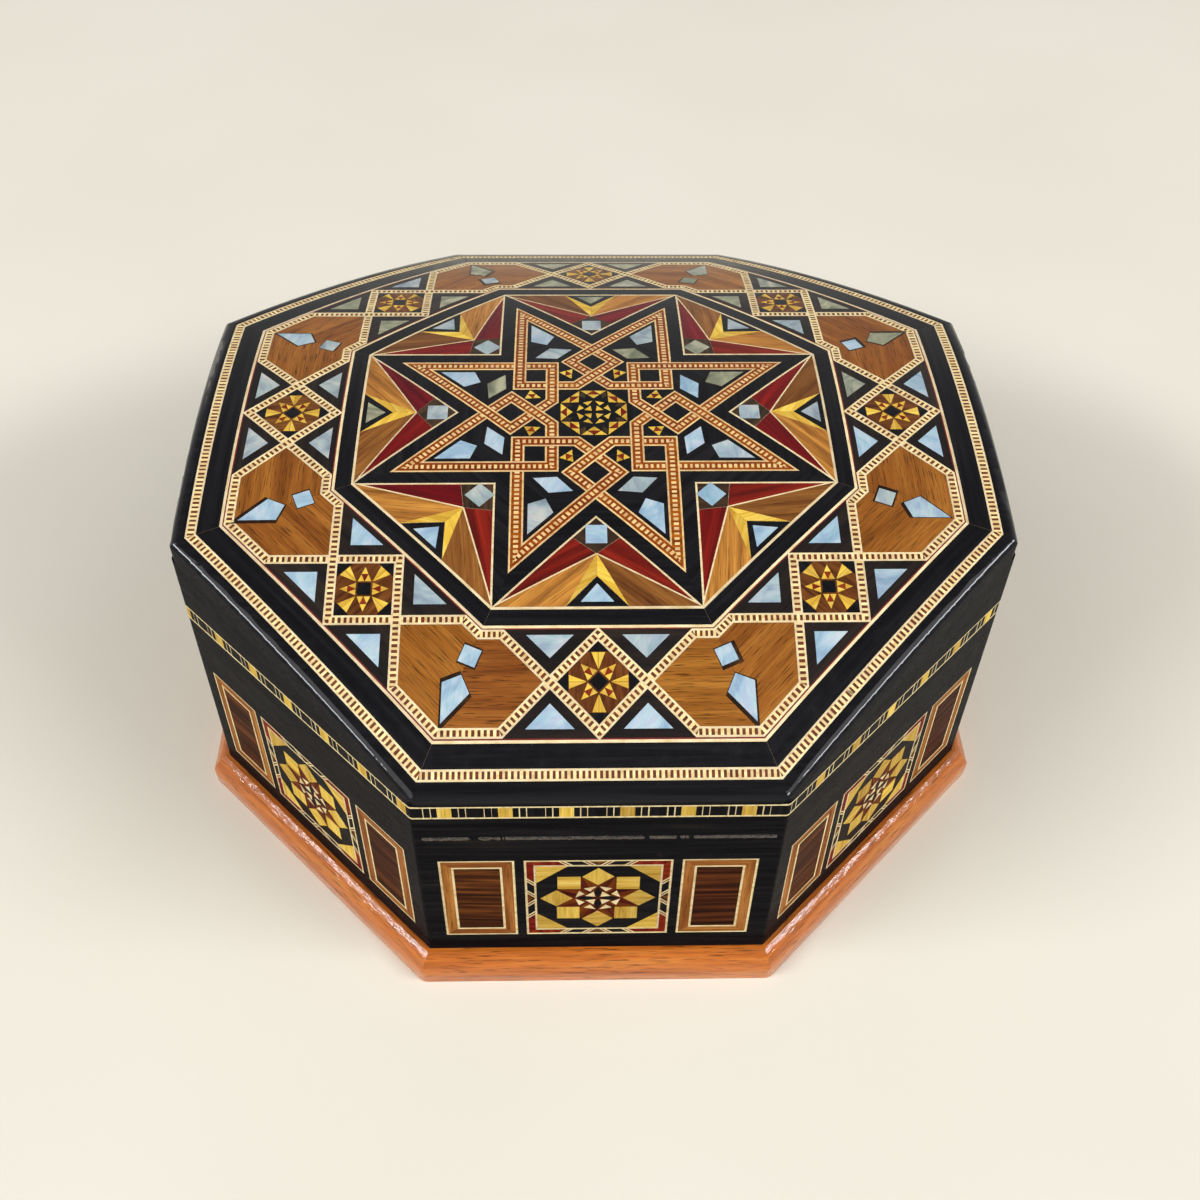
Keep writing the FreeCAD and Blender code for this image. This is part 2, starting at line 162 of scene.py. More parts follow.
def mirror(points):
    return flipped(points[::-1])


def both(points):
    return [points, mirror(points)]


def rectangle(half_w, half_h):
    return [(-half_w, -half_h), (half_w, -half_h), (half_w, half_h), (-half_w, half_h)]


def between(outer, inner):
    """Strips between two like outlines, one to an edge."""
    return [[a, b, d, c] for (a, b), (c, d) in zip(pairs(outer), pairs(inner))]


def octagon(half_x, half_y=None):
    """Corners of an octagon; corner k lies between side k and side k + 1."""
    half_y = half_x if half_y is None else half_y
    half = [half_x, (half_x + half_y) / 2, half_y, (half_x + half_y) / 2] * 2
    corners = []
    for k in range(8):
        a, b = k * EIGHTH, (k + 1) * EIGHTH
        d1, d2 = half[k], half[(k + 1) % 8]
        det = sin(b - a)
        corners.append(((d1 * sin(b) - d2 * sin(a)) / det, (d2 * cos(a) - d1 * cos(b)) / det))
    return corners


def area(points):
    return sum(p[0] * q[1] - q[0] * p[1] for p, q in pairs(points)) / 2


def inset(points, gaps):
    """Move every edge of a convex outline inwards, edge k by gaps[k]."""
    gaps = gaps if hasattr(gaps, "__len__") else [gaps] * len(points)
    side = 1 if area(points) > 0 else -1
    moved, count = [], len(points)
    for k in range(count):
        (x0, y0), (x1, y1), (x2, y2) = points[k - 1], points[k], points[(k + 1) % count]
        ax, ay, bx, by = x1 - x0, y1 - y0, x2 - x1, y2 - y1
        la, lb = hypot(ax, ay), hypot(bx, by)
        d1 = (-ay * x1 + ax * y1) / la + side * gaps[k - 1]
        d2 = (-by * x1 + bx * y1) / lb + side * gaps[k]
        det = (-ay * bx + ax * by) / (la * lb)
        moved.append(((d1 * bx / lb - d2 * ax / la) / det, (d1 * by / lb - d2 * ay / la) / det))
    return moved


def clip(points, normal, limit):
    """The part of a convex outline on the near side of a line."""
    kept = []
    for p, q in pairs(points):
        a = dot(p, normal) - limit
        b = dot(q, normal) - limit
        if a <= 0:
            kept.append(p)
        if a * b < 0:
            t = a / (a - b)
            kept.append((p[0] + t * (q[0] - p[0]), p[1] + t * (q[1] - p[1])))
    return kept if len(kept) > 2 and abs(area(kept)) > TINY else []


def within(points, frame_points):
    """The part of a convex outline inside another one."""
    side = 1 if area(frame_points) > 0 else -1
    for (x0, y0), (x1, y1) in pairs(frame_points):
        normal = (side * (y1 - y0), side * (x0 - x1))
        points = points and clip(points, normal, dot(normal, (x0, y0)))
    return points


def beside(outlines, band):
    """What a band (normal, from, to) leaves of the outlines that it crosses."""
    normal, start, end = band
    back = (-normal[0], -normal[1])
    return [p for q in outlines for p in (clip(q, normal, start), clip(q, back, -end)) if p]


def slices(points):
    """A convex outline in strips across the vault."""
    rest, strips = points, []
    ys = [y for _, y in points]
    for j in range(ceil(min(ys) / SLICE + TINY), floor(max(ys) / SLICE - TINY) + 1):
        strips.append(clip(rest, (0, 1), j * SLICE))
        rest = clip(rest, (0, -1), -j * SLICE) or rest
    return [s for s in strips + [rest] if len(s) > 2]


# Inlay
class Vault:
    curved = True

    def spot(self, x, y, depth):
        r = vault_r - depth
        return Vector((x, y, vault_z + sqrt(r * r - y * y))) * MM

    def normal(self, x, y):
        return Vector((0, y / vault_r, sqrt(1 - (y / vault_r) ** 2)))


class Side:
    """One side of the box, which goes on round its two upright corners."""
    curved = False

    def __init__(self, k):
        self.angle = k * EIGHTH

    def bend(self, t):
        over = max(0.0, abs(t) - side_flat) / CORNER_R
        return (over if t > 0 else -over), max(-side_flat, min(side_flat, t))

    def spot(self, t, z, depth):
        lean, t = self.bend(t)
        reach = CORNER_R - depth
        (x, y), = turn([(body - CORNER_R + reach * cos(lean), t + reach * sin(lean))], self.angle)
        return Vector((x, y, z)) * MM

    def normal(self, t, z):
        lean = self.angle + self.bend(t)[0]
        return Vector((cos(lean), sin(lean), 0))


VAULT = Vault()
SIDES = [Side(k) for k in range(8)]
INLAYS = []


class Inlay:
    """Thin pieces of veneer that make one object and stand for one solid."""

    def __init__(self, name, slot, node):
        INLAYS.append(self)
        self.name, self.slot, self.node, self.looks = name, slot, node, []
        self.verts, self.faces, self.kinds, self.tones = [], [], [], []
        self.uvs, self.normals = [], []

    def add(self, points, look, layer=1, grain=0.0, tone=None, place=VAULT, thick=TILE_T):
        """One convex piece; grain is the angle of its fibres, tone picks its shade."""
        if area(points) < 0:
            points = points[::-1]
        if look not in self.looks:
            self.looks.append(look)
        kind, tone = self.looks.index(look), rng.random() if tone is None else tone
        depth = (LAYERS - layer) * LAYER
        drift = (rng.uniform(0, DRIFT), rng.uniform(0, DRIFT))
        lean = Vector([rng.gauss(0, TILE_LEAN) for _ in range(3)])
        known, edges = {}, {}
        c, s = cos(grain), sin(grain)

        def vertex(p):
            key = (round(p[0], 5), round(p[1], 5))
            if key not in known:
                known[key] = len(self.verts)
                self.verts += [place.spot(*p, depth), place.spot(*p, depth + thick)]
            return known[key]

        def face(ring, spots, normals):
            self.faces.append(ring)
            self.kinds.append(kind)
            self.tones.append(tone)
            self.normals += normals
            self.uvs += [(c * x + s * y + drift[0], c * y - s * x + drift[1]) for x, y in spots]

        for strip in slices(points) if place.curved else [points]:
            strip = [p for q, p in zip(strip[-1:] + strip[:-1], strip) if apart(p, q) > SAME_SPOT]
            ring = [vertex(p) for p in strip]
            if len(set(ring)) < 3:
                continue
            normals = [(place.normal(*p) + lean).normalized() for p in strip]
            face(ring, strip, normals)
            face([v + 1 for v in reversed(ring)], strip[::-1], [-n for n in reversed(normals)])
            for (a, p), (b, q) in pairs(list(zip(ring, strip))):
                if (b, a) in edges:
                    del edges[(b, a)]
                else:
                    edges[(a, b)] = (p, q)
        for (a, b), (p, q) in edges.items():
            out = (self.verts[b] - self.verts[a]).cross(place.normal(*p)).normalized()
            face([b, a, a + 1, b + 1], [q, p, p, q], [out] * 4)

    def build(self):
        mesh = bpy.data.meshes.new(self.name)
        mesh.from_pydata(self.verts, [], self.faces)
        for look in self.looks:
            mesh.materials.append(look)
        mesh.polygons.foreach_set("material_index", self.kinds)
        mesh.polygons.foreach_set("use_smooth", [True] * len(self.faces))
        layer = mesh.uv_layers.new(name="grain")
        layer.data.foreach_set("uv", [value for uv in self.uvs for value in uv])
        mesh.attributes.new("tone", "FLOAT", "FACE").data.foreach_set("value", self.tones)
        mesh.normals_split_custom_set(self.normals)
        body_name = "lid" if self.name.startswith("lid") else "box"
        place_piece(self.name, mesh, body_name, self.slot, self.node)


def place_piece(name, mesh, body_name, slot, *nodes):
    piece = bpy.data.objects.new(name, mesh)
    bpy.context.scene.collection.objects.link(piece)
    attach(piece, body_name)
    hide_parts(*nodes)
    return piece


# Materials
def srgb(digits):
    """Linear colour of six hex digits."""
    rgb = bytes.fromhex(digits)
    return tuple(c / 255 / 12.92 if c < 10.4 else ((c / 255 + 0.055) / 1.055) ** 2.4 for c in rgb) + (1.0,)


class Nodes:
    """A node tree and the calls that fill it."""

    def __init__(self, tree):
        self.tree = tree

    def node(self, kind, inputs=None, **settings):
        node = self.tree.nodes.new("ShaderNode" + kind)
        for key, value in settings.items():
            setattr(node, key, value)
        for key, value in (inputs or {}).items():
            self.plug(node.inputs[key], value)
        return node

    def plug(self, socket, value):
        if isinstance(value, bpy.types.NodeSocket):
            self.tree.links.new(value, socket)
        else:
            socket.default_value = value

    def ramp(self, value, *stops):
        """Stops are (place, colour): a grey, six hex digits or a linear colour."""
        node = self.node("ValToRGB", {0: value})
        points = node.color_ramp.elements
        while len(points) < len(stops):
            points.new(0.5)
        for point, (place, colour) in zip(points, stops):
            point.position = place
            if isinstance(colour, str):
                colour = srgb(colour)
            point.color = colour if hasattr(colour, "__len__") else (colour, colour, colour, 1)
        return node.outputs[0]


class Look(Nodes):
    """A procedural material. Coordinates are in mm along the grain."""

    def __init__(self, name, turned=None):
        self.material = bpy.data.materials.new(name)
        self.material.use_nodes = True
        super().__init__(self.material.node_tree)
        self.shader = self.tree.nodes["Principled BSDF"]
        if turned is None:
            self.place = self.node("UVMap", uv_map="grain").outputs[0]
        else:
            spot = {"Vector": self.node("TexCoord").outputs["Object"], "Angle": -turned}
            spot = self.node("VectorRotate", spot, rotation_type="Z_AXIS").outputs[0]
            self.place = self.vector("MULTIPLY", spot, (1 / MM,) * 3)

    def vector(self, operation, a, b):
        return self.node("VectorMath", {0: a, 1: b}, operation=operation).outputs[0]

    def noise(self, along, across, detail=3.0, warp=0.0, rough=0.55, seed=0.0):
        spot = self.vector("MULTIPLY", self.place, (1 / along, 1 / across, 1 / across))
        spot = self.vector("ADD", spot, (seed, 1.7 * seed, 0))
        settings = {"Vector": spot, "Scale": 1.0, "Detail": detail, "Roughness": rough, "Distortion": warp}
        return self.node("TexNoise", settings).outputs[0]

    def mix(self, share, a, b, blend="MIX"):
        node = self.node("Mix", data_type="RGBA", blend_type=blend)
        for index, value in ((0, share), (6, a), (7, b)):
            self.plug(node.inputs[index], value)
        return node.outputs[2]

    def math(self, operation, a, b=0.0, c=0.0):
        return self.node("Math", {0: a, 1: b, 2: c}, operation=operation).outputs[0]

    def tone(self):
        return self.node("Attribute", attribute_name="tone").outputs["Fac"]

    def shaded(self, colour, spread=0.35, hue=0.012):
        """Lighter or darker, and a little redder or yellower, by the piece's tone."""
        tone = self.tone()
        value = self.math("MULTIPLY_ADD", tone, spread, 1 - spread / 2)
        turned = self.math("MULTIPLY_ADD", tone, hue, 0.5 - hue / 2)
        return self.node("HueSaturation", {"Color": colour, "Value": value, "Hue": turned}).outputs[0]

    def bump(self, height_value, strength, distance):
        inputs = {"Height": height_value, "Strength": strength, "Distance": distance * MM}
        return self.node("Bump", inputs).outputs[0]

    def surface(self, colour, rough, bump=None, coat=(0.0, 0.03), gloss=0.5, **values):
        """rough and bump are what ramp() and bump() take, coat is its weight and roughness."""
        values.update(Base_Color=colour, Roughness=self.ramp(*rough), Coat_Weight=coat[0],
                      Coat_Roughness=coat[1], Specular_IOR_Level=gloss)
        if bump:
            values["Normal"] = self.bump(*bump)
        for key, value in values.items():
            self.plug(self.shader.inputs[key.replace("_", " ")], value)
        return self.material


def wood(name, dark, mid, light, turned=None, figure=(50, 3.0), lines=0.6, pore=0.5, rough=(0.24, 0.4),
         spread=0.3, gloss=0.28, coat=0.12, waves=0.0):
    """Lacquered wood; figure is its length and width, waves the lacquer's unevenness."""
    look = Look(name, turned)
    figured = look.noise(*figure, detail=4, warp=0.5)
    colour = look.ramp(figured, (0.3, dark), (0.5, mid), (0.7, light))
    line = look.noise(20, 0.42, seed=1)
    colour = look.mix(lines, colour, look.ramp(line, (0.34, 0.5), (0.56, 1.0)), "MULTIPLY")
    pores = look.noise(5.5, 0.26, detail=1.5, seed=3)
    colour = look.mix(pore, colour, look.ramp(pores, (0.33, 0.12), (0.43, 1.0)), "MULTIPLY")
    if turned is None:
        colour = look.shaded(colour, spread)
    uneven = {"Coat_Normal": look.bump(look.noise(5.0, 1.6, seed=8), 1.0, waves)} if waves else {}
    rough = (line, (0.3, rough[1]), (0.7, rough[0]))
    return look.surface(colour, rough, (pores, 0.2, 0.04), (coat, 0.08), gloss, **uneven)


def ebony(name, turned=None, streak="28231f", rough=0.2, gloss=0.28, coat=0.1, upward=False):
    """Black lacquer; upward lays its coat on the faces that look up only."""
    look = Look(name, turned)
    if upward:
        split = look.node("SeparateXYZ", {0: look.node("TexCoord").outputs["Normal"]})
        coat = look.ramp(split.outputs[2], (0.0, 0.0), (0.9, coat))
    figured = look.noise(38, 1.6, detail=4, warp=0.5)
    colour = look.ramp(figured, (0.4, "0f0e11"), (0.58, "19181b"), (0.8, streak))
    fibre = look.noise(7, 0.2, detail=2, seed=5)
    colour = look.mix(0.5, colour, look.ramp(fibre, (0.35, 0.6), (0.6, 1.0)), "MULTIPLY")
    wear = look.noise(3.0, 3.0, detail=4, seed=2)
    colour = look.mix(look.ramp(wear, (0.68, 0.0), (0.82, 0.3)), colour, srgb("403932"))
    if turned is None:
        colour = look.shaded(colour, 0.25)
    rough = (wear, (0.35, rough), (0.7, rough + 0.12))
    return look.surface(colour, rough, (fibre, 0.1, 0.03), (coat, 0.06), gloss)


def line_wood(name, dark, light, rough=0.38, spread=0.25, gloss=0.5, coat=0.2):
    """Bone and pale stringing: little figure, small stains."""
    look = Look(name)
    stain = look.noise(3.5, 1.2, detail=4)
    colour = look.shaded(look.ramp(stain, (0.3, dark), (0.58, light)), spread)
    fine = look.noise(0.8, 0.3, detail=2, seed=4)
    rough = (fine, (0.3, rough), (0.7, rough + 0.12))
    return look.surface(colour, rough, (fine, 0.1, 0.02), (coat, 0.12), gloss)


def pearl(name):
    look = Look(name)
    tone = look.tone()
    swirl = look.noise(9.0, 6.0, detail=2, warp=1.2)
    layers = look.noise(7.0, 0.9, warp=1.5, seed=7)
    pale = look.ramp(swirl, (0.3, "90b2c6"), (0.5, "aecad6"), (0.7, "ccdade"))
    grey = look.ramp(swirl, (0.3, "8a969e"), (0.5, "a8b8b8"), (0.7, "c8ccc2"))
    olive = look.ramp(swirl, (0.3, "70745c"), (0.5, "969878"), (0.7, "c4c09c"))
    # The tone runs from front to back: pale blue in front, grey and olive behind, is painted reflection; its random
    # part is the pearl's own variation.
    colour = look.mix(look.ramp(tone, (0.38, 0.0), (0.5, 1.0)), pale, grey)
    colour = look.mix(look.ramp(tone, (0.66, 0.0), (0.78, 1.0)), colour, olive)
    glow = look.ramp(layers, (0.34, "e2f0e8"), (0.46, "ffffff"), (0.58, "f6e8f2"), (0.7, "e8f0ff"))
    colour = look.mix(0.8, colour, glow, "MULTIPLY")
    chips = look.noise(1.6, 0.8, detail=4, seed=9)
    colour = look.mix(look.ramp(chips, (0.7, 0.0), (0.76, 0.4)), colour, srgb("78705c"))
    rough = (layers, (0.3, 0.16), (0.7, 0.28))
    return look.surface(colour, rough, (layers, 0.1, 0.05), coat=(0.25, 0.06), gloss=0.4)


def velvet(name):
    look = Look(name, 0.0)
    nap = look.noise(9, 5, detail=4, warp=0.5)
    colour = look.ramp(nap, (0.35, "4a0811"), (0.55, "5c0c16"), (0.72, "6c121d"))
    pile = look.noise(0.35, 0.35, detail=2, seed=3)
    colour = look.mix(0.5, colour, look.ramp(pile, (0.3, 0.5), (0.65, 1.0)), "MULTIPLY")
    return look.surface(colour, (nap, (0.3, 0.95), (0.7, 0.8)), (pile, 0.6, 0.25), gloss=0.2,
                        Sheen_Weight=0.7, Sheen_Roughness=0.35, Sheen_Tint=srgb("dc5a64"))


def felt(name):
    look = Look(name, 0.3)
    tuft = look.noise(1.4, 0.9, detail=5, warp=1.0)
    colour = look.ramp(tuft, (0.3, "0e2c1a"), (0.55, "1c462a"), (0.75, "305e3c"))
    rough = (tuft, (0.3, 0.98), (0.7, 0.88))
    return look.surface(colour, rough, (tuft, 0.7, 0.3), gloss=0.15, Sheen_Weight=0.3)


def brass(name):
    look = Look(name, 0.0)
    brushed = look.noise(9, 0.12)
    tarnish = look.noise(3, 3, detail=4, seed=6)
    colour = look.ramp(tarnish, (0.35, "ac823e"), (0.55, "c29a50"), (0.75, "d0ac62"))
    return look.surface(colour, (brushed, (0.3, 0.42), (0.7, 0.26)), (brushed, 0.12, 0.03), Metallic=1.0)


def lacquer(name):
    look = Look(name, 0.0)
    cloud = look.noise(2.5, 1.0)
    colour = look.ramp(cloud, (0.35, "100e0d"), (0.65, "2c251d"))
    drops = look.noise(0.9, 0.6, detail=2, seed=5)
    return look.surface(colour, (cloud, (0.35, 0.1), (0.65, 0.3)), coat=(1.0, 0.04), gloss=0.05,
                        Coat_Normal=look.bump(drops, 1.0, 0.6))


def floor_paint(name):
    look = Look(name, 0.0)
    cloud = look.noise(160, 160, detail=2)
    colour = look.ramp(cloud, (0.3, "ece5d4"), (0.7, "f0eada"))
    return look.surface(colour, (cloud, (0.3, 0.9), (0.7, 0.95)), gloss=0.1)


TILE = {"figure": (12, 1.5), "pore": 0.2}
UMBER_TONES = ("48240c", "703e16", "8a5422")
BLACK = ebony("ebony_veneer")
DARK = wood("dark_veneer", "181413", "241d1a", "342820", pore=0.3)
HAIR = line_wood("glue_hairline", "3e3024", "68523a")
CREAM = line_wood("cream_line", "d8ba82", "f4deb0")
PALE = line_wood("pale_block", "deb870", "fae2a4", spread=0.35)
ROPE_BROWN = line_wood("rope_brown", "481c06", "76360e")
STRAP_CREAM = line_wood("strap_cream", "d6a864", "f4d092")
STRAP_GROUND = wood("strap_ground", "702e00", "964202", "b25a08", figure=(14, 1.2), pore=0.2)
HONEY = wood("honey_wood", "7e4412", "9a5a1e", "b2702a", figure=(40, 3.4), pore=0.85)
FILLER = wood("dark_filler", "1c1009", "2e1c0f", "4c3018", figure=(4, 3))
SHADE = wood("shade_wood", "2c2016", "423020", "584028", figure=(20, 2))
RED = wood("red_wood", "540708", "780d0d", "921a14", figure=(34, 2.2), lines=0.75, pore=0.3)
BROWN = wood("brown_wood", "7c4a1e", "a86a2c", "c4843a", figure=(30, 2.0), spread=1.0)
YELLOW = wood("yellow_wood", "d29e30", "ecbe44", "f8d464", figure=(22, 1.8), lines=0.35, pore=0.2)
RED_TILE = wood("red_tile", "641608", "8c2810", "a43c1a", **TILE)
UMBER = wood("umber_tile", *UMBER_TONES, figure=(10, 1.5))
PEARL = pearl("pearl")
LINE_RED = line_wood("red_line", "5c140e", "84241a")
# The sides stand over the pale floor and mirror less of it
DULL = {"gloss": 0.01, "coat": 0.0}
FRAME = wood("frame_wood", "7a441a", "a0622e", "be7e42", figure=(30, 1.6), **DULL)
ROSEWOOD = wood("rosewood", "1e0c07", "441f0e", "743e1c", figure=(46, 1.5), lines=0.8, spread=0.4, **DULL)
SIDE_BLACK = ebony("ebony_side", **DULL)
SIDE_CREAM = line_wood("cream_side", "c6ac78", "ecd8a8", **DULL)
SIDE_YELLOW = wood("yellow_tile", "be9236", "dcb44e", "eac86c", figure=(22, 1.8), lines=0.45,
                   pore=0.3, spread=0.45, **DULL)
SIDE_RED = wood("red_side", "5c140a", "802212", "98361a", **TILE, **DULL)
DEEP_RED = wood("deep_red_tile", "360e09", "54190f", "6c2814", **TILE, **DULL)
RUST = wood("rust_tile", "4e2008", "6c300c", "824214", **TILE, **DULL)
SIDE_UMBER = wood("umber_side", *UMBER_TONES, figure=(10, 1.5), **DULL)


# Ropes: a run is [a0, a1, b1, b0], with its long edges a0-a1 and b0-b1 parallel
def run_frame(run):
    (x0, y0), (x1, y1) = run[0], run[1]
    length = hypot(x1 - x0, y1 - y0)
    d = ((x1 - x0) / length, (y1 - y0) / length)
    n = (-d[1], d[0])
    if dot((run[3][0] - x0, run[3][1] - y0), n) < 0:
        n = (-n[0], -n[1])
    return d, n


def rope(inlay, run, turned, edge, period, ground, blocks, margin=0.0, bands=(), layer=2, wobble=0.06,
         rim=CREAM):
    """Edge lines and blocks along one run. blocks are (share of the period, look)."""
    (x0, y0), (d, n) = run[0], run_frame(run)
    width = dot((run[3][0] - x0, run[3][1] - y0), n)
    along = [dot((x - x0, y - y0), d) for x, y in run]
    start, end = min(along), max(along)

    def part(s0, s1, t0, t1, look, level):
        corners = [(s0, t0), (s1, t0), (s1, t1), (s0, t1)]
        shape = within([(x0 + s * d[0] + t * n[0], y0 + s * d[1] + t * n[1]) for s, t in corners], run)
        shapes = [shape] if shape else []
        for band in bands:
            shapes = beside(shapes, band)
        for angle in turned:
            for outline in shapes:
                inlay.add(turn(outline, angle), look, level)

    part(start, end, 0, width, ground, layer)
    for t in (0, width - edge):
        part(start, end, t, t + edge, rim, layer + 1)
    step = (end - start) / max(1, round((end - start) / period))
    for j in range(round((end - start) / step)):
        s = start + j * step
        for share, look in blocks:
            reach = share * step
            if look:
                a, b = s + rng.uniform(-wobble, wobble), s + reach + rng.uniform(-wobble, wobble)
                part(a, b, edge + margin, width - edge - margin, look, layer + 1)
            s += reach


def band_of(run):
    """The strip of plane that a run covers, as beside() takes it."""
    n = run_frame(run)[1]
    return n, dot(run[0], n), dot(run[3], n)


ALL = [k * EIGHTH for k in range(8)]
CORNERS = [(k + 0.5) * EIGHTH for k in range(8)]
ROPE_BLOCKS = ((0.5, None), (0.5, PALE))
STRAP_BLOCKS = ((0.46, None), (0.54, STRAP_CREAM))


def side_strip(r0, r1):
    return [(r0, -r0 * T8), (r1, -r1 * T8), (r1, r1 * T8), (r0, r0 * T8)]


def strips(inlay, r0, r1, look, mitre=0.0):
    for angle in ALL:
        shape = inset(side_strip(r0, r1), (mitre, 0, mitre, 0))
        inlay.add(turn(shape, angle), look, grain=angle + pi / 2)


# Lid: ground and lines
def lid_ground():
    inlay = Inlay("lid_ground_veneer", "ebony_lacquer", "lid_ground")
    inlay.add(octagon(sheet), HAIR, 0, thick=INLAY_T)
    strips(inlay, rope_in, sheet, BLACK)
    strips(inlay, ring_out + LINE_STEP + LINE_W, rope_in, BLACK, WIDE_JOINT)
    strips(inlay, star + LINE_W, ring_in - LINE_STEP - LINE_W, BLACK, WIDE_JOINT)
    strips(inlay, ring_in, ring_out, DARK)
    for angle in ALL:
        inlay.add(turn([(0, 0), (star, -star * T8), (star, star * T8)], angle), BLACK, 1, angle + pi / 2)
    for shape in both(inner_dark) + both(outer_dark):
        for angle in ALL:
            inlay.add(turn(shape, angle), DARK, 2, angle + pi / 2)

    lines = Inlay("lid_stringing", "cream_line", "lid_cream_lines")
    strips(lines, star, star + LINE_W, CREAM)
    strips(lines, ring_in - LINE_STEP - LINE_W, ring_in - LINE_STEP, CREAM)
    strips(lines, ring_in - LINE_STEP, ring_in, LINE_RED)
    strips(lines, ring_out, ring_out + LINE_STEP, LINE_RED)
    strips(lines, ring_out + LINE_STEP, ring_out + LINE_STEP + LINE_W, CREAM)


# Lid: star
strap_out, strap_in, strap_w = 17.6 * unit, 9.8 * unit, 3.1 * unit
notch = (star / cos(EIGHTH / 2) * cos(1.5 * EIGHTH) * sqrt(2), 0)
tip = (star, star * T8)
apex = (notch[0] + 9.8 * unit, 0)
shoulder = (notch[0] + 5.5 * unit, 5.5 * unit)
chevron_foot = (star, 6.7 * unit)
chevron_in = (apex[0] + 5.5 * unit, 0)

gap_field = [notch, tip] + flipped([tip])
gap_shade = [notch, shoulder, apex] + flipped([shoulder])
gap_black = [chevron_in, chevron_foot] + flipped([chevron_foot])
red_wedge = [apex, tip, shoulder]
brown_wedge = [apex, chevron_foot, tip]
chevron = [apex, chevron_in, chevron_foot]
notch_square = scaled([(34.1, -2.4), (38.9, -2.4), (38.9, 2.4), (34.1, 2.4)], unit)
gap_triangle = scaled([(48.6, 0), (53.0, -3.65), (53.0, 3.65)], unit)
star_kite = scaled([(29.1, 0), (32.0, -3.1), (39.6, 0), (32.0, 3.1)], unit)
star_rhomb = scaled([(22.4, 0), (24.8, -4.9), (27.4, 0), (24.8, 4.9)], unit)
small_triangle = scaled([(13.4, 0), (16.95, -1.75), (16.95, 1.75)], unit)
LIPS = (0.3, 0.5, 0.8, 1.8)  # uneven filler round the pearl


def kite(out_d, in_d):
    """Kite of one star point between its two long and its two short lines."""
    out_n, in_n = turn([(out_d, 0)], 1.5 * EIGHTH)[0], turn([(in_d, 0)], -0.5 * EIGHTH)[0]
    wing = (out_n[0] + in_n[0], out_n[1] + in_n[1])
    return [(in_d / cos(EIGHTH / 2), 0), (wing[0], -wing[1]), (out_d / cos(1.5 * EIGHTH), 0), wing]


def strapwork():
    """Eight interlaced kites; each passes over and under by turns."""
    inlay = Inlay("lid_straps", "rope_inlay", "lid_strapwork")
    half = strap_w / 2
    runs = between(kite(strap_out + half, strap_in - half), kite(strap_out - half, strap_in + half))
    over = {1: band_of(turn(runs[2], -EIGHTH)), 3: band_of(turn(runs[0], EIGHTH))}
    for i, run in enumerate(runs):
        rope(inlay, run, CORNERS, edge=0.4, period=1.28, ground=STRAP_GROUND, blocks=STRAP_BLOCKS, margin=0.6,
             bands=[over[i]] if i in over else [], wobble=0.08, rim=STRAP_CREAM)


def pearl_tone_with_painted_reflection(points):
    """Painted reflection: pearl is made paler and bluer towards the front, greyer and more olive behind; a random
    shift per piece is its own variation.
    """
    y = sum(p[1] for p in points) / len(points)
    return min(1.0, max(0.0, 0.5 + 0.45 * y / body + rng.uniform(-0.3, 0.3)))


def pearls(inlay, outlines, turned, filler=None, lip=0.0, layer=3):
    for angle in turned:
        for points in outlines:
            shape = turn(points, angle)
            if filler:
                lips = [-lip * rng.choice(LIPS) for _ in shape]
                inlay.add(inset(shape, lips), filler, layer)
            tile = inset(shape, TILE_JOINT)
            inlay.add(tile, PEARL, layer + 1, rng.uniform(0, pi), pearl_tone_with_painted_reflection(shape))


def star_gaps():
    """Eight gaps between the star's points: wedges, chevrons and pearl."""
    red = Inlay("lid_wedges_red", "red_wood", "lid_red_wedges")
    brown = Inlay("lid_wedges_brown", "brown_wood", "lid_brown_wedges")
    yellow = Inlay("lid_chevrons", "yellow_wood", "lid_yellow_chevrons")
    stones = Inlay("lid_gap_pearls", "pearl", "lid_pearl_gaps")
    line, edge = 0.18, 0.45
    halves = ((1, list, (0.0, 0.35), (0.6, 1.0)), (-1, mirror, (0.8, 1.0), (0.0, 0.4)))
    for angle in ALL:
        red.add(turn(gap_field, angle), CREAM, 2)
        red.add(turn(inset(gap_shade, (edge, JOINT, JOINT, edge)), angle), SHADE, 3, angle + pi / 4)
        yellow.add(turn(gap_black, angle), BLACK, 3, angle + pi / 2)
        for side, flip, brown_tones, yellow_tones in halves:
            def add(inlay, points, gaps, look, layer, lean, tone=None):
                shape = turn(flip(inset(points, gaps)), angle)
                inlay.add(shape, look, layer, angle + side * radians(lean), tone)

            add(red, red_wedge, (line, edge, JOINT), RED, 3, 58)
            add(brown, brown_wedge, (0.02, 0, line), BROWN, 3, 50, rng.uniform(*brown_tones))
            add(yellow, chevron, (JOINT, WIDE_JOINT, JOINT), YELLOW, 4, 62, rng.uniform(*yellow_tones))
    pearls(stones, [notch_square], ALL)
    pearls(stones, [gap_triangle], ALL)


def star_points():
    stones = Inlay("lid_star_pearls", "pearl", "lid_pearl_star")
    dots = Inlay("lid_point_triangles", "mosaic_inlay", "lid_small_triangles")
    pearls(stones, [star_kite, star_rhomb], CORNERS, DARK, 0.2, 2)
    for angle in CORNERS:
        mosaic_triangle(dots, small_triangle, angle)


def triangle_tiles(points):
    """Three pale tiles round a red one, as (outline, look)."""
    a, b, c = points
    ab, bc, ca = middle(a, b), middle(b, c), middle(c, a)
    return [([a, ab, ca], YELLOW), ([b, bc, ab], YELLOW), ([c, ca, bc], YELLOW), ([ab, bc, ca], RED_TILE)]


def mosaic_triangle(inlay, points, angle):
    for shape, look in triangle_tiles(points):
        inlay.add(turn(inset(shape, WIDE_JOINT), angle), look, 3, angle)


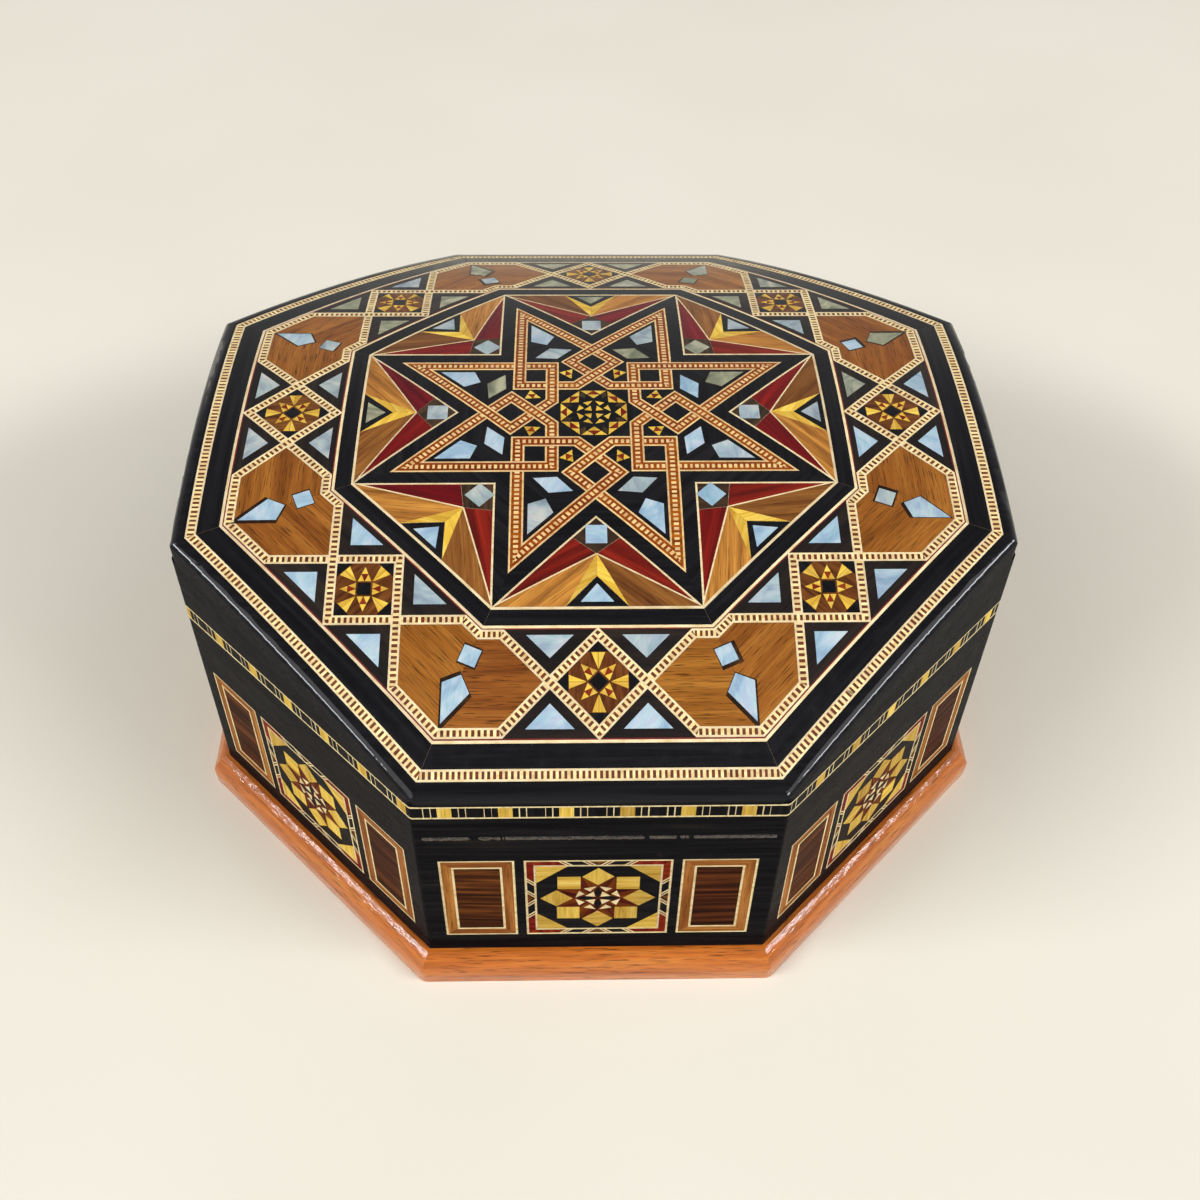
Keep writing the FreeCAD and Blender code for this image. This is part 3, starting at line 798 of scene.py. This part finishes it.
def star_centre(add, size, pale, dark):
    """Small star: dark spindles on the axes, pale triangles between them."""
    spindle, outside = [(0.02, 0), (0.49, -0.18), (1, 0), (0.49, 0.18)], [(1, 0.08), (0.84, 0.63), (0.59, 0.35)]
    inside = [(0.19, 0.56), (0.12, 0.12), (0.56, 0.19)]
    for q in range(4):
        for shape, look in [(spindle, dark), (inside, pale)] + [(shape, pale) for shape in both(outside)]:
            add(turn(scaled(shape, size), q * pi / 2), look)


def rosette():
    inlay = Inlay("lid_rosette_tiles", "mosaic_inlay", "lid_rosette")
    half = strap_in - strap_w / 2 - LINE_STEP
    inlay.add(octagon(half), BLACK, 2)
    for angle in ALL:
        mosaic_triangle(inlay, scaled([(0.62, 0), (0.98, -0.4), (0.98, 0.4)], half), angle)
    for angle in CORNERS:
        drop = scaled([(0.66, 0), (0.82, -0.1), (1.0, 0), (0.82, 0.1)], half)
        inlay.add(turn(inset(drop, WIDE_JOINT), angle), SHADE, 3, angle)
    star_centre(lambda points, look: inlay.add(points, look, 3), 0.5 * half, YELLOW, BLACK)


# Lid: border ring
ring_mid = (ring_in + ring_out) / 2
cell_in, cell_out = ring_in + RING_ROPE_W, ring_out - RING_ROPE_W
cross = (RING_W - RING_ROPE_W) / 2
half_diag = RING_ROPE_W / sqrt(2)
band_end = cross + half_diag + ring_mid - cell_in
inner_foot = cross - half_diag - ring_in + ring_mid
diamond = [(ring_mid - cross + half_diag, 0), (ring_mid, half_diag - cross),
           (ring_mid + cross - half_diag, 0), (ring_mid, cross - half_diag)]
inner_dark = [(ring_in, cross + half_diag + ring_in - ring_mid), (ring_mid - half_diag, cross),
              (ring_in, inner_foot)]
outer_dark = [(ring_out, inner_foot), (ring_mid + half_diag, cross),
              (ring_out, cross + half_diag - ring_out + ring_mid)]
inner_triangle = inset(inner_dark, (2.4, 2.4, 1.2))
outer_triangle = inset(outer_dark, (2.0, 2.0, 1.7))
corner_field = [(ring_mid, cross + half_diag), (cell_out, band_end), (cell_out, cell_out * T8),
                (cell_in, cell_in * T8), (cell_in, band_end)]
corner_near, corner_far = cell_in / cos(EIGHTH / 2), cell_out / cos(EIGHTH / 2)
# Its diamond mosaics, about their own centres
diamond_core = [(2.05, 0), (0, 2.05), (-2.05, 0), (0, -2.05)]
diamond_half_fan = [(2.35, 0), (6.2, 0), (6.2, 1.5)]
diamond_corner = [(6.25, -2.3), (cross - half_diag, 0), (6.25, 2.3)]
diamond_ray = [(1.75, -1.5), (1.75, 1.5), (5.3, 0)]


def corner_shares(*points):
    depth = corner_far - corner_near
    return [(corner_near + x * depth, y * depth) for x, y in points]


corner_square = corner_shares((0.095, -0.1), (0.295, -0.1), (0.295, 0.1), (0.095, 0.1))
corner_kite = corner_shares((0.41, 0), (0.56, -0.16), (0.96, 0), (0.56, 0.16))


def ring_ropes():
    """Ropes round the corner fields, crossing between them."""
    inlay = Inlay("lid_ring_ropes", "rope_inlay", "lid_ring_rope")
    inner, outer = [[(r, r * T8), (r, inner_foot), (c, band_end), (c, c * T8)]
                    for r, c in ((ring_in, cell_in), (ring_out, cell_out))]
    rising, falling = [[(r, inner_foot), (r + way * inner_foot, 0), (c + way * band_end, 0), (c, band_end)]
                       for r, c, way in ((ring_in, cell_in, 1), (ring_out, cell_out, -1))]
    style = {"edge": 0.42, "period": 1.24, "ground": ROPE_BROWN, "blocks": ROPE_BLOCKS}
    for flip, over, under in ((list, falling, rising), (flipped, rising, falling)):
        for run in (inner, outer, over):
            rope(inlay, flip(run), ALL, **style)
        rope(inlay, flip(under), ALL, bands=[band_of(flip(over))], **style)

    edge = Inlay("lid_edge_rope", "rope_inlay", "lid_outer_rope")
    run = [(rope_out, -rope_out * T8), (rope_out, rope_out * T8), (rope_in, rope_in * T8), (rope_in, -rope_in * T8)]
    rope(edge, run, ALL, **dict(style, period=1.2))


def ring_fields():
    fields = Inlay("lid_honey_fields", "honey_wood", "lid_corner_fields")
    stones = Inlay("lid_corner_pearls", "pearl", "lid_pearl_corners")
    for angle in ALL:
        for shape in both(corner_field):
            fields.add(turn(inset(shape, JOINT), angle), HONEY, 2, angle + pi / 2)
    pearls(stones, [corner_square, corner_kite], CORNERS, FILLER, 0.45)

    triangles = Inlay("lid_ring_pearls", "pearl", "lid_pearl_ring")
    pearls(triangles, both(inner_triangle) + both(outer_triangle), ALL)

    tiles = Inlay("lid_diamond_tiles", "mosaic_inlay", "lid_diamonds")
    for angle in ALL:
        tiles.add(turn(diamond, angle), UMBER, 2, angle)
        spot = turn([(ring_mid, 0)], angle)[0]

        def tile(points, look, spin):
            tiles.add(shift(turn(inset(points, TILE_JOINT), angle + spin), *spot), look, 3, angle + spin)

        tile(diamond_core, BLACK, 0)
        for q in range(4):
            spin = q * pi / 2
            for half_fan in both(diamond_half_fan):
                tile(half_fan, YELLOW, spin)
            tile(diamond_corner, BLACK, spin)
            for shape, look in triangle_tiles(diamond_ray):
                tile(shape, look, spin + EIGHTH)


# Sides
FRAME_LINE = 0.5  # pale line round a frame
FRAME_WOOD = 2.2  # wood between a frame's pale lines
BORDER_LINE = 0.5  # pale line round a mosaic
INNER_LINE = 0.45  # pale line inside its border
INNER_AT = 2.05
SLANT = 1.7  # lean of the border's stripes, which start at these places
PALE_STRIPES, PALE_STRIPE_W = (8.2, 7.2, 3.1, 2.1), 0.42
DARK_STRIPES, DARK_STRIPE_W = (7.62, 2.52), 0.58
RED_START = 8.6
# Outlines of the mosaic, as shares of its field
YELLOW_TILES = ([(0.295, 0.28), (0.675, 0.28), (0.675, 0.66), (0.295, 0.66)],
                [(0.675, -0.26), (0.945, 0), (0.675, 0.26), (0.41, 0)],
                [(1, 0.49), (1, 1), (0.49, 1)])
STAR_TIP, STAR_NOTCH, STAR_CORE = 0.72, 0.43, 0.365


def frame_strips(half_w, half_h, width):
    """Four mitred strips round a rectangle."""
    outer = rectangle(half_w, half_h)
    return between(outer, inset(outer, width))


def wood_panels():
    frames = Inlay("side_frames", "frame_wood", "wood_frames")
    panels = Inlay("side_panels", "rosewood", "wood_panels")
    half_w, half_h, skew = wood_w / 2, panel_h / 2, 0.12
    last_line = FRAME_LINE + FRAME_WOOD
    for place in SIDES:
        for mid in (-wood_mid, wood_mid):
            def add(inlay, points, look, layer, grain=0.0):
                inlay.add(shift(points, mid, panel_mid_z), look, layer, grain, place=place, thick=INLAY_T)

            def strip(start, width):
                return frame_strips(half_w - start, half_h - start, width)[i]

            for i in range(4):
                add(frames, strip(0, FRAME_LINE), SIDE_CREAM, 2)
                wide = inset(strip(FRAME_LINE, FRAME_WOOD), (0, TILE_JOINT, 0, TILE_JOINT))
                add(frames, wide, FRAME, 2, i % 2 * pi / 2)
                add(frames, strip(last_line, FRAME_W - last_line), SIDE_CREAM, 3)
            panel = rectangle(half_w - FRAME_W, half_h - FRAME_W)
            add(panels, panel, ROSEWOOD, 2, rng.uniform(-skew, skew))


def side_mosaics():
    """Square mosaics: bordered field with a star of eight points."""
    borders = Inlay("side_borders", "mosaic_inlay", "mosaic_borders")
    fields = Inlay("side_fields", "mosaic_inlay", "mosaic_fields")
    yellows = Inlay("side_yellow_tiles", "mosaic_inlay", "mosaic_yellow")
    stars = Inlay("side_stars", "mosaic_inlay", "mosaic_stars")
    half = panel_h / 2
    field, inner, outer = half - BORDER_W, half - INNER_AT, half - BORDER_LINE
    point, dip = (STAR_TIP * field, 0), [(STAR_NOTCH * field, 0)]
    for place in SIDES:
        def add(inlay, points, look, layer=2, grain=0.0, thick=TILE_T):
            inlay.add(shift(points, 0, panel_mid_z), look, layer, grain, place=place, thick=thick)

        add(fields, rectangle(half, half), SIDE_BLACK, 1, 0.0, INLAY_T)
        for i in range(4):
            spin = i * pi / 2
            add(borders, frame_strips(half, half, BORDER_LINE)[i], SIDE_CREAM, 3)
            add(borders, frame_strips(inner, inner, INNER_LINE)[i], SIDE_CREAM, 3)
            for flip in (list, mirror):
                def edge(points, look, layer=2, grain=0.0):
                    add(borders, turn(flip(points), spin), look, layer, grain)

                def stripe(start, end, look, layer):
                    edge([(inner, start - SLANT), (outer, start), (outer, end), (inner, end - SLANT)], look, layer)

                red = [(inner, RED_START - SLANT), (outer, RED_START), (outer, outer), (inner, inner)]
                edge(red, SIDE_RED, 2, spin)
                for start in PALE_STRIPES:
                    stripe(start, start + PALE_STRIPE_W, SIDE_CREAM, 3)
                for start in DARK_STRIPES:
                    stripe(start, start + DARK_STRIPE_W, SIDE_UMBER, 2)
                edge([(inner + 0.3, 0), (outer, 0), (outer, SLANT)], SIDE_UMBER)
            for shape in YELLOW_TILES:
                points = inset(turn(scaled(shape, field), spin), TILE_JOINT)
                add(yellows, points, SIDE_YELLOW, 3, rng.choice((0.0, pi / 2)))
        for angle in CORNERS:
            add(stars, turn([(0, 0)] + turn(dip, -0.5 * EIGHTH) + [point], angle), RUST, 2, angle)
            add(stars, turn([(0, 0), point] + turn(dip, 0.5 * EIGHTH), angle), DEEP_RED, 2, angle)
        star_centre(lambda points, look: add(stars, points, look, 3), STAR_CORE * field, SIDE_CREAM, SIDE_BLACK)


def lid_band():
    """Narrow band of blocks on the lid's side."""
    inlay = Inlay("lid_side_band", "band_inlay", "lid_band")
    z0, z1 = low("lid_band").z, high("lid_band").z
    quarter, line, ground_t = CORNER_R * EIGHTH / 4, 0.5, 0.5
    least_cut, least_block = 0.02, 0.05
    half = side_flat + CORNER_R * EIGHTH / 2
    stops = [-half, -side_flat - quarter, -side_flat, side_flat, side_flat + quarter, half]
    dark, pale = (1.2, SIDE_BLACK), (0.25, SIDE_CREAM)
    blocks = ((3.0, SIDE_YELLOW), dark, pale, dark, pale, (3.6, SIDE_BLACK), pale, dark, pale, dark)
    period = sum(width for width, _ in blocks)
    for place in SIDES:
        def add(t0, t1, a, b, look, layer, thick=TILE_T):
            tone = rng.random()
            for start, end in zip(stops, stops[1:]):
                u, v = max(t0, start), min(t1, end)
                if v - u > least_cut:
                    inlay.add([(u, a), (v, a), (v, b), (u, b)], look, layer, pi / 2, tone, place, thick)

        add(-half, half, z0, z1, SIDE_BLACK, 2, ground_t)
        add(-half, half, z0, z0 + line, SIDE_CREAM, 3)
        add(-half, half, z1 - line, z1, SIDE_CREAM, 3)
        t = -half - rng.uniform(0, period)
        while t < half:
            for width, look in blocks:
                a, b = max(t, -half), min(t + width + rng.uniform(-0.1, 0.1), half)
                if b - a > least_block:
                    add(a, b, z0 + line, z1 - line, look, 3)
                t += width


# Small pieces
def mesh_of(name, verts, faces, look, smooth=True):
    mesh = bpy.data.meshes.new(name)
    mesh.from_pydata([Vector(v) * MM for v in verts], [], faces)
    mesh.materials.append(look)
    mesh.polygons.foreach_set("use_smooth", [smooth] * len(faces))
    return mesh


def row_faces(a, b, count):
    """Faces between two closed rows of points, which start at a and b."""
    return [[a + j, b + j, b + (j + 1) % count, a + (j + 1) % count] for j in range(count)]


def lacquer_bead():
    """Pooled lacquer along the lid's lower edge, at the front."""
    half, columns, rows = body * T8 - 1.5, 260, 7
    foot, tall, fattest = seam_z + 0.15, 1.5, 0.34
    skin, back = -body + 0.05, -body + 0.3
    pools = [(rng.uniform(-half, half), rng.uniform(0.8, 5.0), rng.uniform(0.4, 1.0)) for _ in range(34)]
    ridges = [rng.uniform(0.2, 1.0) for _ in range(columns + 1)]
    verts, faces = [], []
    for i in range(columns + 1):
        x = -half + 2 * half * i / columns
        fat = min(1.0, sum(size * max(0.0, 1 - ((x - mid) / reach) ** 2) for mid, reach, size in pools))
        for j in range(rows + 1):
            up = j / rows
            bulge = fattest * fat * ridges[i] * sin(pi * up) ** 0.7 * (1 + 0.25 * sin(2.1 * x + 5 * up))
            verts.append((x, skin - bulge, foot + tall * up))
        verts += [(x, back, foot + tall), (x, back, foot)]
    ring = rows + 3
    for i in range(columns):
        faces += row_faces(i * ring, (i + 1) * ring, ring)
    faces += [list(range(ring)), [columns * ring + j for j in reversed(range(ring))]]
    mesh = mesh_of("seam_lacquer", verts, faces, lacquer("lacquer"))
    place_piece("seam_lacquer", mesh, "lid", "ebony_lacquer")


def hinge_screws(metal, shadow):
    """Countersunk, slotted screws, three on each leaf, each over a black disc of painted shade."""
    hole_r, head_r, reach, stagger, knuckle = 1.75, 1.55, 0.32 * HINGE_LEN, 1.1, 2.0
    x_mid = high("hinge_pins").x - HINGE_LEN / 2
    y_mid = (low("hinge_body_leaves").y + high("hinge_body_leaves").y) / 2 - knuckle
    spots = [(x + off, y_mid + dy) for x in (x_mid, -x_mid)
             for off, dy in ((-reach, -stagger), (0.0, stagger), (reach, -stagger))]
    hole = [(hole_r * cos(t * pi / 16), hole_r * sin(t * pi / 16)) for t in range(32)]
    half_head = [(head_r * cos(radians(a)), head_r * sin(radians(a))) for a in range(12, 169, 12)]
    for name, body_name, face in (("hinge_screws_box", "box", -1), ("hinge_screws_lid", "lid", 1)):
        verts, faces, kinds = [], [], []
        plate = seam_z + 0.05 * face
        for spot in spots:
            tilt = rng.uniform(0, pi)

            def layer(points, lift):
                first = len(verts)
                verts.extend((x, y, plate - face * lift) for x, y in shift(turn(points, tilt), *spot))
                return list(range(first, first + len(points)))

            def cap(points, shrunk, low_lift, high_lift, kind):
                base, top = layer(points, low_lift), layer(shrunk, high_lift)
                for ring in between(base, top) + [top, base[::-1]]:
                    faces.append(ring if face < 0 else ring[::-1])
                    kinds.append(kind)

            # The hole is a black disc: painted shade in the slot and in the ring round the head.
            cap(hole, hole, -0.2, 0.006, 1)
            for side in (0, 1):
                head = turn(half_head, side * pi)
                cap(head, [(0.95 * a, 0.96 * b) for a, b in head], -0.1, 0.03, 0)
        mesh = mesh_of(name, verts, faces, metal, False)
        mesh.materials.append(shadow)
        mesh.polygons.foreach_set("material_index", kinds)
        place_piece(name, mesh, body_name, "brass")


# Soft pieces
SHEET_RINGS, EDGE_STEPS, WALL_ROWS = 30, 18, 14
SHEET_GAP = 0.02  # sheets stand this far off what carries them


def octagon_edge(corners):
    """Points along an octagon's edge."""
    edge = []
    for (x0, y0), (x1, y1) in pairs(corners):
        edge += [(x0 + (x1 - x0) * j / EDGE_STEPS, y0 + (y1 - y0) * j / EDGE_STEPS) for j in range(EDGE_STEPS)]
    return edge


def octagon_sheet(name, node, side_gap, heights, look, body_name, slot):
    """A closed sheet for an octagonal solid; heights(x, y, share) gives its upper and lower face."""
    corners = octagon(high(node).x - side_gap, high(node).y - side_gap)
    edge = octagon_edge(corners)
    count = len(edge)
    shares = [sin(pi / 2 * i / SHEET_RINGS) for i in range(1, SHEET_RINGS + 1)]
    verts, faces = [], []
    for face in (0, 1):
        verts.append((0, 0, heights(0, 0, 0)[face]))
        for share in shares:
            verts += [(x, y, heights(x, y, share)[face]) for x, y in scaled(edge, share)]
    base, last = 1 + SHEET_RINGS * count, 1 + (SHEET_RINGS - 1) * count
    for face in (0, 1):
        first = face * base
        rings = [[first, first + 1 + j, first + 1 + (j + 1) % count] for j in range(count)]
        for i in range(SHEET_RINGS - 1):
            rings += row_faces(first + 1 + i * count, first + 1 + (i + 1) * count, count)
        faces += [ring[::-1] for ring in rings] if face else rings
    faces += row_faces(last, base + last, count)
    return place_piece(name, mesh_of(name, verts, faces, look), body_name, slot, node), corners


def ripple(x, y, size):
    return 0.5 * sin(x / size + 1.3 * sin(y / size * 0.7)) + 0.5 * sin(y / size * 1.1 + 0.9 * sin(x / size * 0.8 + 2))


def floor_pad(cloth):
    foot = low("floor_pad").z

    def heights(x, y, share):
        crown = 0.9 * (1 - share ** 4) + 0.16 * ripple(x, y, 11) * (1 - share ** 6)
        return foot + 0.45 + crown, foot + SHEET_GAP

    piece, _ = octagon_sheet("floor_pad_velvet", "floor_pad", 0.15, heights, cloth, "box", "velvet")


def base_felt():
    half, foot, top = high("base_felt").x, low("base_felt").z, high("base_felt").z

    def heights(x, y, share):
        return top - SHEET_GAP, foot + SHEET_GAP + 0.03 * abs(ripple(x, y, 4)) + 0.25 * share ** 40

    piece, corners = octagon_sheet("base_felt_sheet", "base_felt", 0.5, heights, felt("felt"), "box", "felt")


def lid_lining(cloth):
    under = vault_r - (height - high("lid_lining").z)

    def heights(x, y, share):
        sag = 0.25 * (1 - share ** 8) + 0.1 * ripple(x, y, 13) * (1 - share ** 6)
        top = vault_z + sqrt((under - SHEET_GAP) ** 2 - y * y)
        return top, top - 0.8 - sag

    piece, corners = octagon_sheet("lid_lining_velvet", "lid_lining", 0.2, heights, cloth, "lid", "velvet")


def wall_lining(cloth):
    z0, z1, wall_gap = low("wall_lining").z + 0.1, high("wall_lining").z - 0.1, 0.05
    corners = octagon(high("wall_lining").x - wall_gap, high("wall_lining").y - wall_gap)
    edge = octagon_edge(corners)
    count = len(edge)
    outer, inner = [], []
    for i in range(WALL_ROWS + 1):
        up = i / WALL_ROWS
        z = z0 + (z1 - z0) * up
        outer.append([(x, y, z) for x, y in edge])
        inner.append([])
        for j, (x, y) in enumerate(edge):
            across = j % EDGE_STEPS / EDGE_STEPS
            puff = (1 - (2 * up - 1) ** 8) * (1 - (2 * across - 1) ** 8)
            reach = 0.7 + 0.7 * puff + 0.08 * ripple(j * 3.4, z, 6)
            share = 1 - reach / hypot(x, y)
            inner[i].append((x * share, y * share, z))
    rows = outer + inner[::-1]
    starts = [count * i for i in range(len(rows))]
    faces = [[a + j, a + k, b + k, b + j] for a, b in pairs(starts) for j, k in pairs(list(range(count)))]
    mesh = mesh_of("wall_lining_velvet", sum(rows, []), faces, cloth)
    piece = place_piece("wall_lining_velvet", mesh, "box", "velvet", "wall_lining")


def soft_pieces():
    cloth = velvet("velvet")
    floor_pad(cloth)
    base_felt()
    lid_lining(cloth)
    wall_lining(cloth)


# CAD pieces that stay
def dress(node, look):
    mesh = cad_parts[node].data
    mesh.materials.clear()
    mesh.materials.append(look)


def cad_looks():
    for k, name in enumerate(SIDE_NAMES):
        turned = k * EIGHTH + pi / 2
        black = ebony("ebony_" + name, turned, streak="2c261e", gloss=0.008, coat=0.0)
        dress("wall_" + name, black)
        dress("rim_" + name, black)
        orange = wood("foot_wood_" + name, "ac561a", "cc7026", "de8a3c", turned, figure=(46, 2.4),
                      lines=0.45, pore=0.75, rough=(0.2, 0.34), gloss=0.2, coat=0.9, waves=0.35)
        dress("moulding_" + name, orange)
    dress("lid_panel", ebony("ebony_panel", 0.0, streak="1c1a1c", gloss=0.01, coat=0.85, upward=True))
    dress("bottom_board", wood("board", "967046", "b28c5e", "c8a678", 0.0))
    metal = brass("brass")
    for node in ("hinge_body_leaves", "hinge_lid_leaves", "hinge_pins"):
        dress(node, metal)
    hinge_screws(brass("screw_brass"), ebony("screw_shadow", 0.0))


# Camera, light and floor
FLOOR_HALF = 4000


def camera():
    lens = bpy.data.cameras.new("camera")
    lens.sensor_width, lens.lens = 36.0, 43.16
    lens.shift_x, lens.shift_y = 0.0009, -0.0475
    lens.clip_start, lens.clip_end = 0.01, 20
    down, azimuth, roll = radians(46.721), radians(1.847), radians(1.081)
    ahead = Vector((sin(azimuth) * cos(down), cos(azimuth) * cos(down), -sin(down)))
    level = Vector((cos(azimuth), -sin(azimuth), 0))
    above = level.cross(ahead)
    right = level * cos(roll) + above * sin(roll)
    up = above * cos(roll) - level * sin(roll)
    eye = bpy.data.objects.new("camera", lens)
    eye.matrix_world = Matrix((right, up, -ahead)).transposed().to_4x4()
    eye.location = Vector((-6.4, -253.3, 314.3)) * MM
    bpy.context.scene.collection.objects.link(eye)
    bpy.context.scene.camera = eye


def lamp(name, azimuth, elevation, distance, size, power, colour):
    """Soft box aimed at the box; azimuth 0 is behind it, turning right."""
    light = bpy.data.lights.new(name, "AREA")
    light.shape, light.size, light.size_y = "RECTANGLE", size[0], size[1]
    light.energy, light.color = power, colour
    a, e, aim = radians(azimuth), radians(elevation), Vector((0, 0, 0.05))
    spot = Vector((sin(a) * cos(e), cos(a) * cos(e), sin(e))) * distance + aim
    box = bpy.data.objects.new(name, light)
    box.location = spot
    box.rotation_euler = (aim - spot).to_track_quat("-Z", "Y").to_euler()
    bpy.context.scene.collection.objects.link(box)


def studio():
    scene = bpy.context.scene
    scene.view_settings.view_transform = "Standard"
    scene.world = bpy.data.worlds.new("studio")
    scene.world.use_nodes = True
    sky = Nodes(scene.world.node_tree)
    up = sky.node("SeparateXYZ", {0: sky.node("TexCoord").outputs["Generated"]}).outputs[2]
    colour = sky.ramp(up, (0.0, (0.5, 0.5, 0.49, 1)), (0.35, (0.42, 0.42, 0.42, 1)),
                      (0.75, (0.2, 0.2, 0.21, 1)), (1.0, (0.14, 0.14, 0.15, 1)))
    sky.plug(sky.tree.nodes["Background"].inputs[0], colour)
    for side in (1, -1):
        lamp("key_%d" % side, azimuth=180 - side * 60, elevation=48, distance=2.6, size=(1.7, 1.7), power=15,
             colour=(1.0, 0.98, 0.95))
        lamp("strip_%d" % side, azimuth=side * 114, elevation=37, distance=2.6, size=(1.4, 0.4), power=32,
             colour=(0.9, 0.94, 1.0))
    verts = [(x, y, 0) for x, y in rectangle(FLOOR_HALF, FLOOR_HALF)]
    mesh = mesh_of("floor", verts, [[0, 1, 2, 3]], floor_paint("floor_paint"))
    floor_piece = bpy.data.objects.new("floor", mesh)
    scene.collection.objects.link(floor_piece)


lid_ground()
strapwork()
star_gaps()
star_points()
rosette()
ring_ropes()
ring_fields()
wood_panels()
side_mosaics()
lid_band()
for made in INLAYS:
    made.build()
lacquer_bead()
soft_pieces()
cad_looks()
camera()
studio()
